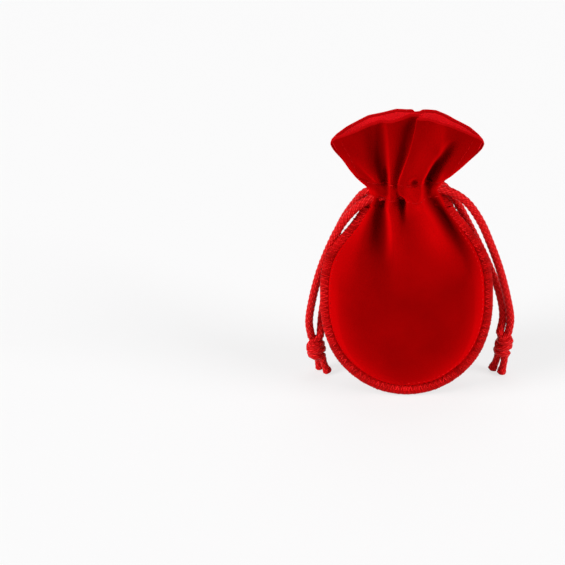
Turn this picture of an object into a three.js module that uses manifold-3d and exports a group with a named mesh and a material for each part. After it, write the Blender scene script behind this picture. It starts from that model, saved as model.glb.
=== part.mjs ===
import * as THREE from "three";
import Module from "manifold-3d";

// A soft velvet drawstring pouch that stands on its base with the neck drawn shut.
// Millimetres, +Z up, the front faces -Y, and the floor under the base is Z = 0.

const wasm = await Module();
wasm.setup();

// Cloth and gaps
const CLOTH_THICKNESS = 1.1;
const PIECE_GAP = 0.3;

// Body: two panels sewn along a curved edge
const BODY_HALF_WIDTH = 30;
const WIDEST_LEVEL = 35;
const BODY_HEIGHT = 75;
const BODY_DEPTH = 41;
const BACK_FLATTER = 1;
const BOTTOM_ROUNDNESS = 2.1;
const FRONT_FULLNESS = 1.95;
const BACK_FULLNESS = 4;
const CROWN = 0.6;
const LOW_FRONT_CROWN = 0.85;
const SHOULDER_SHARPNESS = 1.5;
const BELLY_SHARPNESS = 1.3;

// The sewn edge leans back: far forward at the floor, a little behind the middle at the neck
const EDGE_TOP_Y = 1.5;
const EDGE_INSIDE_NECK = 1.4;
const SHOULDER_RUN = 7;
const EDGE_FORWARD_SWING = 15.5;
const EDGE_SWING_LEVEL = 24;
const BACK_SAG_ANGLE = 0.58;
const BACK_SAG_LEVEL = 12;

// Gathered neck with the drawcord channel
const NECK_HALF_WIDTH = 13.6;
const NECK_HALF_DEPTH = 9.2;
const CORD_DIAMETER = 3;
const CORD_CLEARANCE = 0.35;
const FOLD_AT = 0.12;
const SLOT_START = 0.78;

// Collar above the neck
const RIM_HALF_WIDTH = 28;
const RIM_HALF_DEPTH = 7.5;
const RIM_SIDE_HEIGHT = 12.4;
const RIM_CROWN = 12.4;
const RIM_LEAN = 0.9;

// Overlocked edge and sewing thread
const EDGE_ROLL_DIAMETER = 2.8;
const THREAD_DIAMETER = 0.5;
const SEAM_LINE_DISTANCE = 2.4;
const SEAM_REACH = 1.9;
const THREAD_SLACK = 0.2;
const SIDE_HEM_AT = 0.86;

// Drawcord knots and cut tails
const KNOT_DIAMETER = 7.6;
const KNOT_HEIGHT = 9;

const frontBelly = (BODY_DEPTH + BACK_FLATTER) / 2;
const backBelly = (BODY_DEPTH - BACK_FLATTER) / 2;
const edgeRadius = EDGE_ROLL_DIAMETER / 2;
const cordRadius = CORD_DIAMETER / 2;
const threadRadius = THREAD_DIAMETER / 2;
const edgeOffset = edgeRadius + 2 * PIECE_GAP;
const bottomLevel = edgeOffset + edgeRadius + PIECE_GAP;

const channelHeight = 2 * CORD_DIAMETER + 3 * CORD_CLEARANCE;
const hemHeight = 1.45 * CLOTH_THICKNESS;
const collarBase = BODY_HEIGHT + PIECE_GAP;
const channelBottom = collarBase + hemHeight;
const channelTop = channelBottom + channelHeight;
const sleeveTop = channelTop + hemHeight;
const sleeveThickness = 2 * CLOTH_THICKNESS + CORD_DIAMETER + 2 * CORD_CLEARANCE;
const SLEEVE_SHARE = 0.3;
const lowerCordLevel = channelBottom + CORD_CLEARANCE + cordRadius;
const upperCordLevel = channelTop - CORD_CLEARANCE - cordRadius;

const FRONT = 1;
const BACK = -1;

const materials = {
  cloth: { color: 0xb00006, roughness: 0.95, metalness: 0 },
  thread: { color: 0xcc1016, roughness: 0.6, metalness: 0 },
  cord: { color: 0xc8141a, roughness: 0.5, metalness: 0 },
};

function smooth(value) {
  const t = Math.min(1, Math.max(0, value));
  return t * t * (3 - 2 * t);
}

function bump(value, centre, width) {
  return Math.exp(-(((value - centre) / width) ** 2));
}

// Falls from `from` at share 0 to `to` at share 1 along half a cosine wave.
function bell(from, to, share, sharpness) {
  const t = Math.min(1, Math.max(0, share)) ** sharpness;
  return to + (from - to) * (0.5 + 0.5 * Math.cos(Math.PI * t));
}

// Quarter of a rounded curve: 0 at drop 1, full at drop 0.
function rounded(drop, power) {
  return Math.max(0, 1 - Math.min(1, drop) ** power) ** (1 / power);
}

function edgeY(level) {
  return EDGE_TOP_Y - EDGE_FORWARD_SWING * Math.exp(-level / EDGE_SWING_LEVEL);
}

function edgeTilt(level, side) {
  const slope = (EDGE_FORWARD_SWING / EDGE_SWING_LEVEL) * Math.exp(-level / EDGE_SWING_LEVEL);
  const sag = side === BACK ? BACK_SAG_ANGLE * Math.exp(-level / BACK_SAG_LEVEL) : 0;
  return Math.atan(slope) * (1 - smooth((level - 0.7 * BODY_HEIGHT) / (0.27 * BODY_HEIGHT))) + sag;
}

function edgeHalfWidth(level, inset) {
  const lowest = bottomLevel + inset;
  if (level < WIDEST_LEVEL) {
    const drop = (WIDEST_LEVEL - level) / (WIDEST_LEVEL - lowest);
    return (BODY_HALF_WIDTH - inset) * rounded(drop, BOTTOM_ROUNDNESS);
  }
  const share = (level - WIDEST_LEVEL) / (collarBase + SHOULDER_RUN - WIDEST_LEVEL);
  return bell(BODY_HALF_WIDTH, NECK_HALF_WIDTH - EDGE_INSIDE_NECK, share, SHOULDER_SHARPNESS) - inset;
}

function edgeLowest(across, inset) {
  const lowest = bottomLevel + inset;
  return WIDEST_LEVEL - (WIDEST_LEVEL - lowest) * rounded(Math.abs(across), BOTTOM_ROUNDNESS);
}

function bellyDepth(level, side, inset) {
  const lowest = bottomLevel + inset;
  const depth = side === FRONT ? frontBelly : backBelly;
  const fullness = side === FRONT ? FRONT_FULLNESS : BACK_FULLNESS;
  if (level < WIDEST_LEVEL) {
    return (depth - inset) * rounded((WIDEST_LEVEL - level) / (WIDEST_LEVEL - lowest), fullness);
  }
  const share = (level - WIDEST_LEVEL) / (BODY_HEIGHT - WIDEST_LEVEL);
  return bell(depth, NECK_HALF_DEPTH, share, BELLY_SHARPNESS) - inset;
}

// Small gathers that the drawn cords press into the neck, outward positive.
function neckGathers(across, side) {
  const fade = 1 - across ** 6;
  if (side === BACK) {
    return fade * (0.6 * bump(across, -0.35, 0.16) - 0.9 * bump(across, FOLD_AT, 0.1) + 0.6 * bump(across, 0.5, 0.16));
  }
  const left = 0.7 * bump(across, -0.18, 0.12) - 0.9 * bump(across, -0.42, 0.13);
  const right = 0.7 * bump(across, 0.42, 0.14) - 0.8 * bump(across, 0.7, 0.12);
  return fade * (left + right - 0.9 * bump(across, FOLD_AT, 0.09));
}

// Long soft folds that run down from the neck into the belly.
function bodyFolds(across, level, side) {
  const reach = smooth((level - 0.56 * BODY_HEIGHT) / (0.3 * BODY_HEIGHT));
  const nearNeck = smooth((level - 0.84 * BODY_HEIGHT) / (0.16 * BODY_HEIGHT));
  const fade = 1 - across ** 6;
  const front = 1.3 * bump(across, -0.2, 0.13) - 2.6 * bump(across, -0.44, 0.15)
    + 1.1 * bump(across, 0.5, 0.14) - 2.4 * bump(across, 0.74, 0.12);
  const back = 1.1 * bump(across, -0.3, 0.2) - 1.6 * bump(across, 0.05, 0.16) + 1.1 * bump(across, 0.45, 0.2);
  const folds = fade * (side === FRONT ? front : back);
  return reach * (1 - nearNeck) * folds + nearNeck * neckGathers(across, side);
}

// How steeply a panel rises from its sewn edge: the lower front comes down to the edge more gently.
function crownAt(level, side) {
  return side === FRONT ? CROWN + (LOW_FRONT_CROWN - CROWN) * (1 - smooth(level / WIDEST_LEVEL)) : CROWN;
}

// A point of a body panel: `along` runs -1..1 from the left edge to the right one, `up` 0..1 from edge to neck.
function panelPoint(along, up, side, inset) {
  const across = Math.sin((Math.PI / 2) * along);
  const lowest = edgeLowest(across, inset);
  const level = lowest + (BODY_HEIGHT - lowest) * up ** 2;
  const halfWidth = edgeHalfWidth(level, inset);
  const x = across * (level < WIDEST_LEVEL ? BODY_HALF_WIDTH - inset : halfWidth);
  const share = halfWidth > 0 ? Math.min(1, Math.abs(x) / halfWidth) : 1;
  const squareness = side === FRONT ? 2.2 : 2.2 + 0.8 * (1 - smooth(level / WIDEST_LEVEL));
  const crossing = up === 0 ? 0 : Math.max(0, 1 - share ** squareness) ** crownAt(level, side);
  const out = PIECE_GAP / 2 + crossing * (bellyDepth(level, side, inset) + bodyFolds(across, level, side));
  const tilt = edgeTilt(level, side);
  const y = edgeY(level) - side * out * Math.cos(tilt);
  const z = level + side * out * Math.sin(tilt);
  const floor = inset > 0 ? inset : 0;
  return new THREE.Vector3(x, y, Math.min(Math.max(z, floor), BODY_HEIGHT));
}

// A point of the sewn edge, moved outward by `outset` in the plane of the edge.
function edgePoint(along, outset) {
  const upper = Math.abs(along) > 1 ? Math.abs(along) - 1 : 0;
  const across = Math.sin((Math.PI / 2) * Math.max(-1, Math.min(1, along)));
  const lowest = edgeLowest(across, -outset);
  const level = lowest + (BODY_HEIGHT - EDGE_ROLL_DIAMETER / 2 - lowest) * upper;
  const x = Math.sign(across) * edgeHalfWidth(level, -outset);
  return new THREE.Vector3(across === 0 ? 0 : x, edgeY(level), level);
}

function rimLevel(across, side) {
  const crown = side === FRONT ? RIM_CROWN : 0.86 * RIM_CROWN;
  return sleeveTop + RIM_SIDE_HEIGHT + crown * (1 - Math.abs(across) ** 2.3);
}

// Folds of the collar leaves, outward positive, growing from the neck to the rim.
function collarFolds(across, side) {
  const fade = 1 - across ** 4;
  if (side === BACK) {
    return fade * (0.9 * bump(across, -0.4, 0.25) - 1.6 * bump(across, FOLD_AT, 0.14) + 0.9 * bump(across, 0.55, 0.22));
  }
  const left = 1.0 * bump(across, -0.22, 0.14) - 1.6 * bump(across, -0.48, 0.16);
  const right = 1.4 * bump(across, 0.3, 0.12) - 1.2 * bump(across, 0.62, 0.16);
  return fade * (left + right - 2.2 * bump(across, FOLD_AT, 0.1));
}

// A point of the neck and collar: `up` 0..1 from the hem to the rim, `layer` -1 inner face, 1 outer face.
function collarPoint(across, up, layer, side) {
  const above = Math.max(0, (up - SLEEVE_SHARE) / (1 - SLEEVE_SHARE));
  const level = up <= SLEEVE_SHARE
    ? collarBase + (sleeveTop - collarBase) * (up / SLEEVE_SHARE)
    : sleeveTop + (rimLevel(across, side) - sleeveTop) * above;
  const thinning = smooth(above / 0.18);
  const thickness = sleeveThickness + (2 * CLOTH_THICKNESS - sleeveThickness) * thinning;
  const depthIn = (thickness / 2) * (1 - layer);
  const halfWidth = NECK_HALF_WIDTH + (RIM_HALF_WIDTH - NECK_HALF_WIDTH) * above ** 0.8 - depthIn;
  const halfDepth = NECK_HALF_DEPTH + (RIM_HALF_DEPTH - NECK_HALF_DEPTH) * smooth(above) - depthIn;
  const sharpness = 0.6 + 0.2 * smooth(above);
  const crossing = Math.max(0, 1 - Math.abs(across) ** 2.2) ** sharpness;
  const outerOnly = layer >= 1 ? 1 : thinning;
  const gathers = outerOnly * (1 - smooth(above / 0.6)) * neckGathers(across, side);
  const folds = smooth(above / 0.8) * collarFolds(across, side);
  const centreY = edgeY(BODY_HEIGHT) + RIM_LEAN * above;
  const out = PIECE_GAP / 2 + crossing * (halfDepth + gathers + folds);
  return new THREE.Vector3(halfWidth * across, centreY - side * out, level);
}

function shareOfLevel(level) {
  return (SLEEVE_SHARE * (level - collarBase)) / (sleeveTop - collarBase);
}

function signedVolume(points, faces) {
  return faces.reduce((sum, [a, b, c]) => {
    return sum + points[a].dot(new THREE.Vector3().crossVectors(points[b], points[c])) / 6;
  }, 0);
}

// A closed body from its points and triangles, turned so that its faces point outward.
function closedBody(points, faces) {
  const turned = signedVolume(points, faces) < 0 ? faces.map(([a, b, c]) => [a, c, b]) : faces;
  const geometry = new THREE.BufferGeometry();
  geometry.setAttribute("position", new THREE.Float32BufferAttribute(points.flatMap((p) => [p.x, p.y, p.z]), 3));
  geometry.setIndex(turned.flat());
  return geometry;
}

// A sheet with thickness: two grids of the same size, joined by a strip round their border.
function sheetBody(outer, inner) {
  const rows = outer.length;
  const columns = outer[0].length;
  const points = [...outer.flat(), ...inner.flat()];
  const top = (row, column) => row * columns + column;
  const under = (row, column) => rows * columns + row * columns + column;
  const faces = [];
  const quad = (a, b, c, d) => faces.push([a, b, c], [a, c, d]);
  for (let row = 0; row < rows - 1; row += 1) {
    for (let column = 0; column < columns - 1; column += 1) {
      quad(top(row, column), top(row, column + 1), top(row + 1, column + 1), top(row + 1, column));
      quad(under(row, column), under(row + 1, column), under(row + 1, column + 1), under(row, column + 1));
    }
    const last = columns - 1;
    quad(top(row, 0), top(row + 1, 0), under(row + 1, 0), under(row, 0));
    quad(top(row + 1, last), top(row, last), under(row, last), under(row + 1, last));
  }
  for (let column = 0; column < columns - 1; column += 1) {
    const last = rows - 1;
    quad(top(0, column + 1), top(0, column), under(0, column), under(0, column + 1));
    quad(top(last, column), top(last, column + 1), under(last, column + 1), under(last, column));
  }
  return closedBody(points, faces);
}

function grid(rowValues, columnValues, pointAt) {
  return rowValues.map((row) => columnValues.map((column) => pointAt(column, row)));
}

function steps(from, to, count) {
  return Array.from({ length: count + 1 }, (_, i) => from + ((to - from) * i) / count);
}

// Values crowded towards `to`, where the neck ring curves most.
function crowdedSteps(from, to, count) {
  return steps(0, 1, count).map((t) => from + (to - from) * Math.sin((Math.PI / 2) * t));
}

function panelBody(side) {
  const rows = steps(0, 1, 16);
  const columns = steps(-1, 1, 26);
  const outer = grid(rows, columns, (along, up) => panelPoint(along, up, side, 0));
  const inner = grid(rows, columns, (along, up) => panelPoint(along, up, side, CLOTH_THICKNESS));
  return sheetBody(outer, inner);
}

function toManifold(geometry) {
  return new wasm.Manifold(new wasm.Mesh({
    numProp: 3,
    vertProperties: geometry.attributes.position.array,
    triVerts: new Uint32Array(geometry.index.array),
  }));
}

function fromManifold(solid) {
  const mesh = solid.getMesh();
  const geometry = new THREE.BufferGeometry();
  const positions = [];
  for (let i = 0; i < mesh.numVert; i += 1) {
    positions.push(...mesh.vertProperties.subarray(i * mesh.numProp, i * mesh.numProp + 3));
  }
  geometry.setAttribute("position", new THREE.Float32BufferAttribute(positions, 3));
  geometry.setIndex(Array.from(mesh.triVerts));
  return geometry;
}

// A cutter through the drawcord channel, `past` mm beyond the plane where front and back meet.
function channelCutter(fromAcross, sideSign, side, innerLayer, outerLayer) {
  const past = 2;
  const rows = [shareOfLevel(channelBottom), shareOfLevel((channelBottom + channelTop) / 2), shareOfLevel(channelTop)];
  const columns = crowdedSteps(fromAcross, sideSign, 12);
  const layerGrid = (layer) => rows.map((up) => {
    const points = columns.map((across) => collarPoint(across, up, layer, side));
    const end = points[points.length - 1].clone();
    end.y += side * past;
    return [...points, end];
  });
  return toManifold(sheetBody(layerGrid(outerLayer), layerGrid(innerLayer)));
}

// One quarter of the neck and collar with its open channel, and the slot where the cords come out.
function collarBody(sideSign, side) {
  const start = FOLD_AT + (sideSign * PIECE_GAP) / NECK_HALF_WIDTH;
  const sleeveRows = steps(0, SLEEVE_SHARE, 2);
  const collarRows = [0.36, 0.43, 0.51, 0.6, 0.7, 0.8, 0.9, 0.96, 1];
  const rows = [...sleeveRows, ...collarRows];
  const columns = crowdedSteps(start, sideSign, 11);
  const outer = grid(rows, columns, (across, up) => collarPoint(across, up, 1, side));
  const inner = grid(rows, columns, (across, up) => collarPoint(across, up, -1, side));
  const wall = 1 - (2 * CLOTH_THICKNESS) / sleeveThickness;
  const tunnel = channelCutter(FOLD_AT - 0.08 * sideSign, sideSign, side, -wall, wall);
  const slot = channelCutter(sideSign * SLOT_START, sideSign, side, -wall, 3);
  return fromManifold(toManifold(sheetBody(outer, inner)).subtract(tunnel).subtract(slot));
}

function tubeBody(points, radius, sides, stepCount) {
  const shape = new THREE.Shape();
  for (let i = 0; i < sides; i += 1) {
    const angle = (2 * Math.PI * i) / sides;
    const corner = [radius * Math.cos(angle), radius * Math.sin(angle)];
    if (i === 0) shape.moveTo(...corner);
    else shape.lineTo(...corner);
  }
  shape.closePath();
  const path = new THREE.CatmullRomCurve3(points, false, "centripetal");
  return new THREE.ExtrudeGeometry(shape, { steps: stepCount, extrudePath: path, bevelEnabled: false });
}

// A point of the collar's outer face, lifted off it for a thread that lies there.
function threadPoint(across, up, side) {
  const above = Math.max(0, (up - SLEEVE_SHARE) / (1 - SLEEVE_SHARE));
  const halfWidth = NECK_HALF_WIDTH + (RIM_HALF_WIDTH - NECK_HALF_WIDTH) * above;
  const halfDepth = NECK_HALF_DEPTH + (RIM_HALF_DEPTH - NECK_HALF_DEPTH) * above;
  const point = collarPoint(across, up, 1, side);
  const outward = new THREE.Vector3(point.x / halfWidth ** 2, 0, 0);
  outward.y = (point.y - edgeY(BODY_HEIGHT) - RIM_LEAN * above) / halfDepth ** 2;
  return point.addScaledVector(outward.normalize(), PIECE_GAP + threadRadius + THREAD_SLACK);
}

// Sewing thread laid along the outer face of the collar at one height.
function channelStitch(sideSign, side, level) {
  const points = crowdedSteps(FOLD_AT + 0.05 * sideSign, 0.95 * sideSign, 12)
    .map((across) => threadPoint(across, shareOfLevel(level), side));
  return tubeBody(points, threadRadius, 6, 11);
}

// Sewing thread of the hem that runs up the side of the collar, from the channel to the rim.
function sideStitch(sideSign, side) {
  const points = steps(SLEEVE_SHARE + 0.08, 0.96, 8)
    .map((up) => threadPoint(SIDE_HEM_AT * sideSign, up, side));
  return tubeBody(points, threadRadius, 6, 8);
}

// How far a panel stands out from the plane of its edge at a place `inset` mm inside the edge.
function standOut(along, inset, side) {
  const place = edgePoint(along, -inset);
  const halfWidth = edgeHalfWidth(place.z, 0);
  const share = Math.min(1, Math.abs(place.x) / halfWidth);
  const squareness = side === FRONT ? 2.2 : 2.2 + 0.8 * (1 - smooth(place.z / WIDEST_LEVEL));
  const crossing = Math.max(0, 1 - share ** squareness) ** crownAt(place.z, side);
  return crossing * (bellyDepth(place.z, side, 0) + bodyFolds(place.x / halfWidth, place.z, side));
}

// Sewing thread laid on a panel just inside the overlocked edge.
function seamLine(side) {
  const points = steps(-SEAM_REACH, SEAM_REACH, 48).map((along) => {
    let near = 0;
    let far = 1.25 * SEAM_LINE_DISTANCE;
    for (let i = 0; i < 24; i += 1) {
      const middle = (near + far) / 2;
      if (standOut(along, middle, side) < SEAM_LINE_DISTANCE) near = middle;
      else far = middle;
    }
    const point = edgePoint(along, -near);
    const tilt = edgeTilt(point.z, side);
    const away = new THREE.Vector3().subVectors(edgePoint(along, 1), point).normalize();
    const normal = new THREE.Vector3(0, -side * Math.cos(tilt), side * Math.sin(tilt));
    const lift = 2 * PIECE_GAP + threadRadius;
    point.addScaledVector(normal, PIECE_GAP / 2 + SEAM_LINE_DISTANCE);
    return point.addScaledVector(normal.multiplyScalar(0.4).add(away).normalize(), lift);
  });
  return tubeBody(points, threadRadius, 6, 52);
}

// The part of a drawcord inside the channel, from the middle fold to the far end of the slot.
function channelRun(sideSign, side, level, end) {
  return crowdedSteps(FOLD_AT + 0.03 * sideSign, end * sideSign, 8)
    .map((across) => collarPoint(across, shareOfLevel(level), 0, side));
}

function leadBody(sideSign, side, level) {
  return tubeBody(channelRun(sideSign, side, level, 0.82), cordRadius, 8, 8);
}

function bendBody(sideSign, level) {
  const front = channelRun(sideSign, FRONT, level, 1);
  const back = channelRun(sideSign, BACK, level, 1).reverse();
  front.pop();
  return tubeBody([...front, ...back], cordRadius, 8, 24);
}

function knotBody() {
  const radius = KNOT_DIAMETER / 2;
  const profile = [
    [0, 0], [0.55, 0], [0.86, 0.09], [0.99, 0.22], [0.92, 0.34], [0.84, 0.4], [0.95, 0.47], [1, 0.6],
    [0.94, 0.7], [0.83, 0.76], [0.9, 0.83], [0.8, 0.95], [0.62, 1], [0, 1],
  ].map(([r, z]) => new THREE.Vector2(r * radius, z * KNOT_HEIGHT));
  const geometry = new THREE.LatheGeometry(profile, 12);
  geometry.rotateX(Math.PI / 2);
  return geometry;
}

function vectors(list) {
  return list.map(([x, y, z]) => new THREE.Vector3(x, y, z));
}

// Routes of the free cord strands, from the slot in the neck to the top of the knot.
const LEFT_FRONT_ROUTE = [
  [-9.4, -2.2, 78.8], [-10.6, -1.5, 78.9], [-13.2, -1.0, 78.7], [-16.4, -0.9, 77.3], [-20.4, -0.2, 74.1],
  [-25.4, 1.4, 66.4], [-29.9, 2.9, 56.6], [-33.8, 3.6, 45.4], [-37.0, 4.4, 32.6], [-38.4, 5.1, 22.6],
  [-37.7, 5.6, 15.7],
];
const LEFT_BACK_ROUTE = [
  [-9.4, 3.8, 78.8], [-10.6, 3.2, 78.9], [-13.0, 3.2, 79.2], [-16.0, 4.8, 77.6], [-19.6, 7.6, 72.6],
  [-24.3, 10.4, 64.4], [-28.2, 12.2, 54.6], [-30.6, 12.6, 44.2], [-32.0, 11.2, 33.6], [-33.6, 8.4, 23.4],
  [-34.3, 5.9, 15.7],
];
const RIGHT_FRONT_ROUTE = [
  [9.4, -2.2, 82.1], [10.6, -1.5, 82.1], [13.2, -1.0, 81.2], [17.4, -0.4, 79.6], [22.6, 0.6, 75.4],
  [27.6, 1.9, 67.6], [32.0, 3.1, 57.2], [35.8, 4.0, 46.4], [39.0, 4.5, 34.4], [40.9, 4.7, 24.2],
  [40.2, 4.8, 17.7],
];
const RIGHT_BACK_ROUTE = [
  [9.4, 3.8, 82.1], [10.6, 3.2, 82.0], [12.7, 3.4, 81.6], [15.2, 4.8, 78.9], [18.9, 6.0, 73.4],
  [23.1, 6.8, 65.2], [27.6, 7.4, 55.8], [32.2, 7.9, 45.4], [36.4, 8.0, 34.2], [38.1, 7.1, 24.4],
  [36.8, 4.8, 17.7],
];
const KNOTS = {
  left: { x: -36.0, y: 5.7, z: 5.9, tails: [[0.2, 1.2, 1.1, 1.6], [2.4, -1.4, 4.4, -1.6]] },
  right: { x: 38.5, y: 4.8, z: 7.9, tails: [[-1.6, 1.3, -4.0, 1.6], [0.7, -1.4, -0.6, -1.6]] },
};

function tailBody(knot, [topX, topY, footX, footY]) {
  const top = new THREE.Vector3(knot.x + topX, knot.y + topY, knot.z - 2 * PIECE_GAP);
  const foot = new THREE.Vector3(knot.x + footX, knot.y + footY, 0.85 * cordRadius);
  const middle = top.clone().lerp(foot, 0.5);
  middle.x -= 0.25 * (footX - topX);
  return tubeBody([top, middle, foot], cordRadius, 8, 3);
}

const pouch = new THREE.Group();
pouch.name = "jewelry_pouch";

function addPiece(parent, name, geometry, material, position = [0, 0, 0]) {
  const mesh = new THREE.Mesh(geometry, new THREE.MeshStandardMaterial(material));
  mesh.name = name;
  mesh.position.set(...position);
  parent.add(mesh);
}

addPiece(pouch, "front_panel", panelBody(FRONT), materials.cloth);
addPiece(pouch, "back_panel", panelBody(BACK), materials.cloth);
const rollPoints = steps(-2, 2, 56).map((along) => edgePoint(along, edgeOffset));
addPiece(pouch, "overlocked_edge", tubeBody(rollPoints, edgeRadius, 8, 60), materials.thread);
addPiece(pouch, "front_seam_line", seamLine(FRONT), materials.thread);
addPiece(pouch, "back_seam_line", seamLine(BACK), materials.thread);

const halves = [
  { name: "left", sign: -1, ownLevel: lowerCordLevel, otherLevel: upperCordLevel, other: "right" },
  { name: "right", sign: 1, ownLevel: upperCordLevel, otherLevel: lowerCordLevel, other: "left" },
];
const routes = {
  left: { front: LEFT_FRONT_ROUTE, back: LEFT_BACK_ROUTE },
  right: { front: RIGHT_FRONT_ROUTE, back: RIGHT_BACK_ROUTE },
};

for (const half of halves) {
  const mouth = new THREE.Group();
  mouth.name = `${half.name}_mouth_half`;
  pouch.add(mouth);
  for (const [face, side] of [["front", FRONT], ["back", BACK]]) {
    const place = `${face}_${half.name}`;
    addPiece(mouth, `${place}_collar`, collarBody(half.sign, side), materials.cloth);
    addPiece(mouth, `${place}_lower_stitch`, channelStitch(half.sign, side, collarBase + hemHeight / 2), materials.thread);
    addPiece(mouth, `${place}_upper_stitch`, channelStitch(half.sign, side, sleeveTop - hemHeight / 2), materials.thread);
    addPiece(mouth, `${place}_side_stitch`, sideStitch(half.sign, side), materials.thread);
    addPiece(mouth, `${half.name}_cord_${face}_lead`, leadBody(half.sign, side, half.ownLevel), materials.cord);
  }
  addPiece(mouth, `${half.other}_cord_bend`, bendBody(half.sign, half.otherLevel), materials.cord);

  const loop = new THREE.Group();
  loop.name = `${half.name}_loop`;
  mouth.add(loop);
  for (const face of ["front", "back"]) {
    const route = vectors(routes[half.name][face]);
    addPiece(loop, `${half.name}_cord_${face}_strand`, tubeBody(route, cordRadius, 8, 14), materials.cord);
  }
  const knot = KNOTS[half.name];
  addPiece(loop, `${half.name}_cord_knot`, knotBody(), materials.cord, [knot.x, knot.y, knot.z]);
  knot.tails.forEach((tail, i) => {
    addPiece(loop, `${half.name}_cord_tail_${i + 1}`, tailBody(knot, tail), materials.cord);
  });
}

export default pouch;
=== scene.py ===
import math

import bpy
import numpy as np
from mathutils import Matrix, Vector


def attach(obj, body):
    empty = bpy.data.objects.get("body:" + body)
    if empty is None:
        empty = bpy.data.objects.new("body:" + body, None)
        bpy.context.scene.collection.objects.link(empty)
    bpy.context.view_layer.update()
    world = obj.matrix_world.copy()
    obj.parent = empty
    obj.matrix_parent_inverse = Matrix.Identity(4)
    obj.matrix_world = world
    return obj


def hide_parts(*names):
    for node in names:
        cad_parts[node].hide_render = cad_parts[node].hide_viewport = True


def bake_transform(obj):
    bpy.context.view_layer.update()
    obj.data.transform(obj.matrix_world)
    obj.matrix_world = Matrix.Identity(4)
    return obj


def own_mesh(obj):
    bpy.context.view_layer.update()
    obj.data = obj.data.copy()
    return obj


# A soft velvet drawstring pouch. Everything is in metres in the frame's own axes: +Z up, the front faces -Y.
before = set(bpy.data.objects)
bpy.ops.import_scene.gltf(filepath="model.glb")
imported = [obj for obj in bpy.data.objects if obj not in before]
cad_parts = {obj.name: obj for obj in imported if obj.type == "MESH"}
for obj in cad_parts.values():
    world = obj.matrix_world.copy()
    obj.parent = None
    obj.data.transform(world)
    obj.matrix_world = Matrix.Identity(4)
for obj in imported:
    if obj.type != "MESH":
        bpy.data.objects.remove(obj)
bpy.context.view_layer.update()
MM = 0.001

FRONT = 1
BACK = -1
LEFT = -1
RIGHT = 1
SIDE_NAMES = {LEFT: "left", RIGHT: "right"}
FACE_NAMES = {FRONT: "front", BACK: "back"}


def add_object(name, data):
    made = bpy.data.objects.new(name, data)
    bpy.context.scene.collection.objects.link(made)
    return made


# Camera
IMAGE_SIZE = 565
SENSOR_WIDTH = 36.0
FOCAL_PIXELS = 1310
POUCH_COLUMN = 406.5
CAMERA_PLACE = Vector((0.0, -0.45315, 0.2613))
CAMERA_PITCH = math.radians(25.78)


def add_camera():
    data = bpy.data.cameras.new("camera")
    data.sensor_width = SENSOR_WIDTH
    data.lens = FOCAL_PIXELS / IMAGE_SIZE * SENSOR_WIDTH
    data.shift_x = (IMAGE_SIZE / 2 - POUCH_COLUMN) / IMAGE_SIZE
    data.clip_start = 0.01
    camera = add_object("camera", data)
    camera.location = CAMERA_PLACE
    camera.rotation_euler = (math.pi / 2 - CAMERA_PITCH, 0, 0)
    bpy.context.scene.camera = camera


add_camera()


# Small helpers for shapes
def smooth(value):
    """Rises smoothly from 0 at value 0 to 1 at value 1."""
    t = np.clip(value, 0, 1)
    return t * t * (3 - 2 * t)


def ramp(value, start, reach):
    """Rises smoothly from 0 at start to 1 at start + reach."""
    return smooth((value - start) / reach)


def hump(value, centre, width):
    """A round hump: 1 at the centre, near 0 two widths away."""
    return np.exp(-(((value - centre) / width) ** 2))


def bell(start, end, share, sharpness):
    """Goes from start to end along half a cosine wave."""
    t = np.clip(share, 0, 1) ** sharpness
    return end + (start - end) * (0.5 + 0.5 * np.cos(np.pi * t))


def rounded(drop, power):
    """Quarter of a rounded curve: 1 at drop 0, 0 at drop 1."""
    return np.maximum(0, 1 - np.clip(drop, 0, 1) ** power) ** (1 / power)


def hermite(t, low, low_slope, high, high_slope):
    """Goes from low to high with a given slope at each end, for t 0..1."""
    return (
        low * (2 * t**3 - 3 * t**2 + 1)
        + low_slope * (t**3 - 2 * t**2 + t)
        + high * (3 * t**2 - 2 * t**3)
        + high_slope * (t**3 - t**2)
    )


def unit(vectors):
    return vectors / np.linalg.norm(vectors, axis=-1, keepdims=True)


def distances_along(path):
    """Distance of each point of a path from its start, measured along it."""
    return np.concatenate([[0], np.cumsum(np.linalg.norm(np.diff(path, axis=0), axis=1))])


def read_between(vectors, run, places):
    """Reads vectors, one for each distance in run, at other distances."""
    return np.column_stack([np.interp(places, run, vectors[:, k]) for k in range(3)])


def through_stations(stations, place):
    """Reads a list of stations (place, value, ...) smoothly at each place, one array per value."""
    table = np.array(sorted(stations), dtype=float)
    knots = table[:, 0]
    clipped = np.clip(place, knots[0], knots[-1])
    spot = np.clip(np.searchsorted(knots, clipped, side="right") - 1, 0, len(knots) - 2)
    span = knots[spot + 1] - knots[spot]
    t = (clipped - knots[spot]) / span
    read = []
    for column in table[:, 1:].T:
        slope = np.gradient(column, knots)
        read.append(hermite(t, column[spot], slope[spot] * span, column[spot + 1], slope[spot + 1] * span))
    return read


ROUTE_STEPS = 24


def smooth_route(points, count):
    """A centripetal Catmull-Rom curve through the points, sampled at even distances."""
    points = np.array(points, dtype=float)
    ends = np.vstack([2 * points[0] - points[1], points, 2 * points[-1] - points[-2]])
    t = np.linspace(0, 1, ROUTE_STEPS, endpoint=False)[:, None]
    pieces = []
    for i in range(1, len(ends) - 2):
        a, b, c, d = ends[i - 1 : i + 3]
        k1, k2, k3 = [max(np.linalg.norm(gap), 1e-9) ** 0.5 for gap in (b - a, c - b, d - c)]
        out = ((b - a) / k1 - (c - a) / (k1 + k2) + (c - b) / k2) * k2
        into = ((c - b) / k2 - (d - b) / (k2 + k3) + (d - c) / k3) * k2
        pieces.append(hermite(t, b, out, c, into))
    fine = np.vstack(pieces + [points[-1:]])
    run = distances_along(fine)
    return read_between(fine, run, np.linspace(0, run[-1], count))


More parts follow.
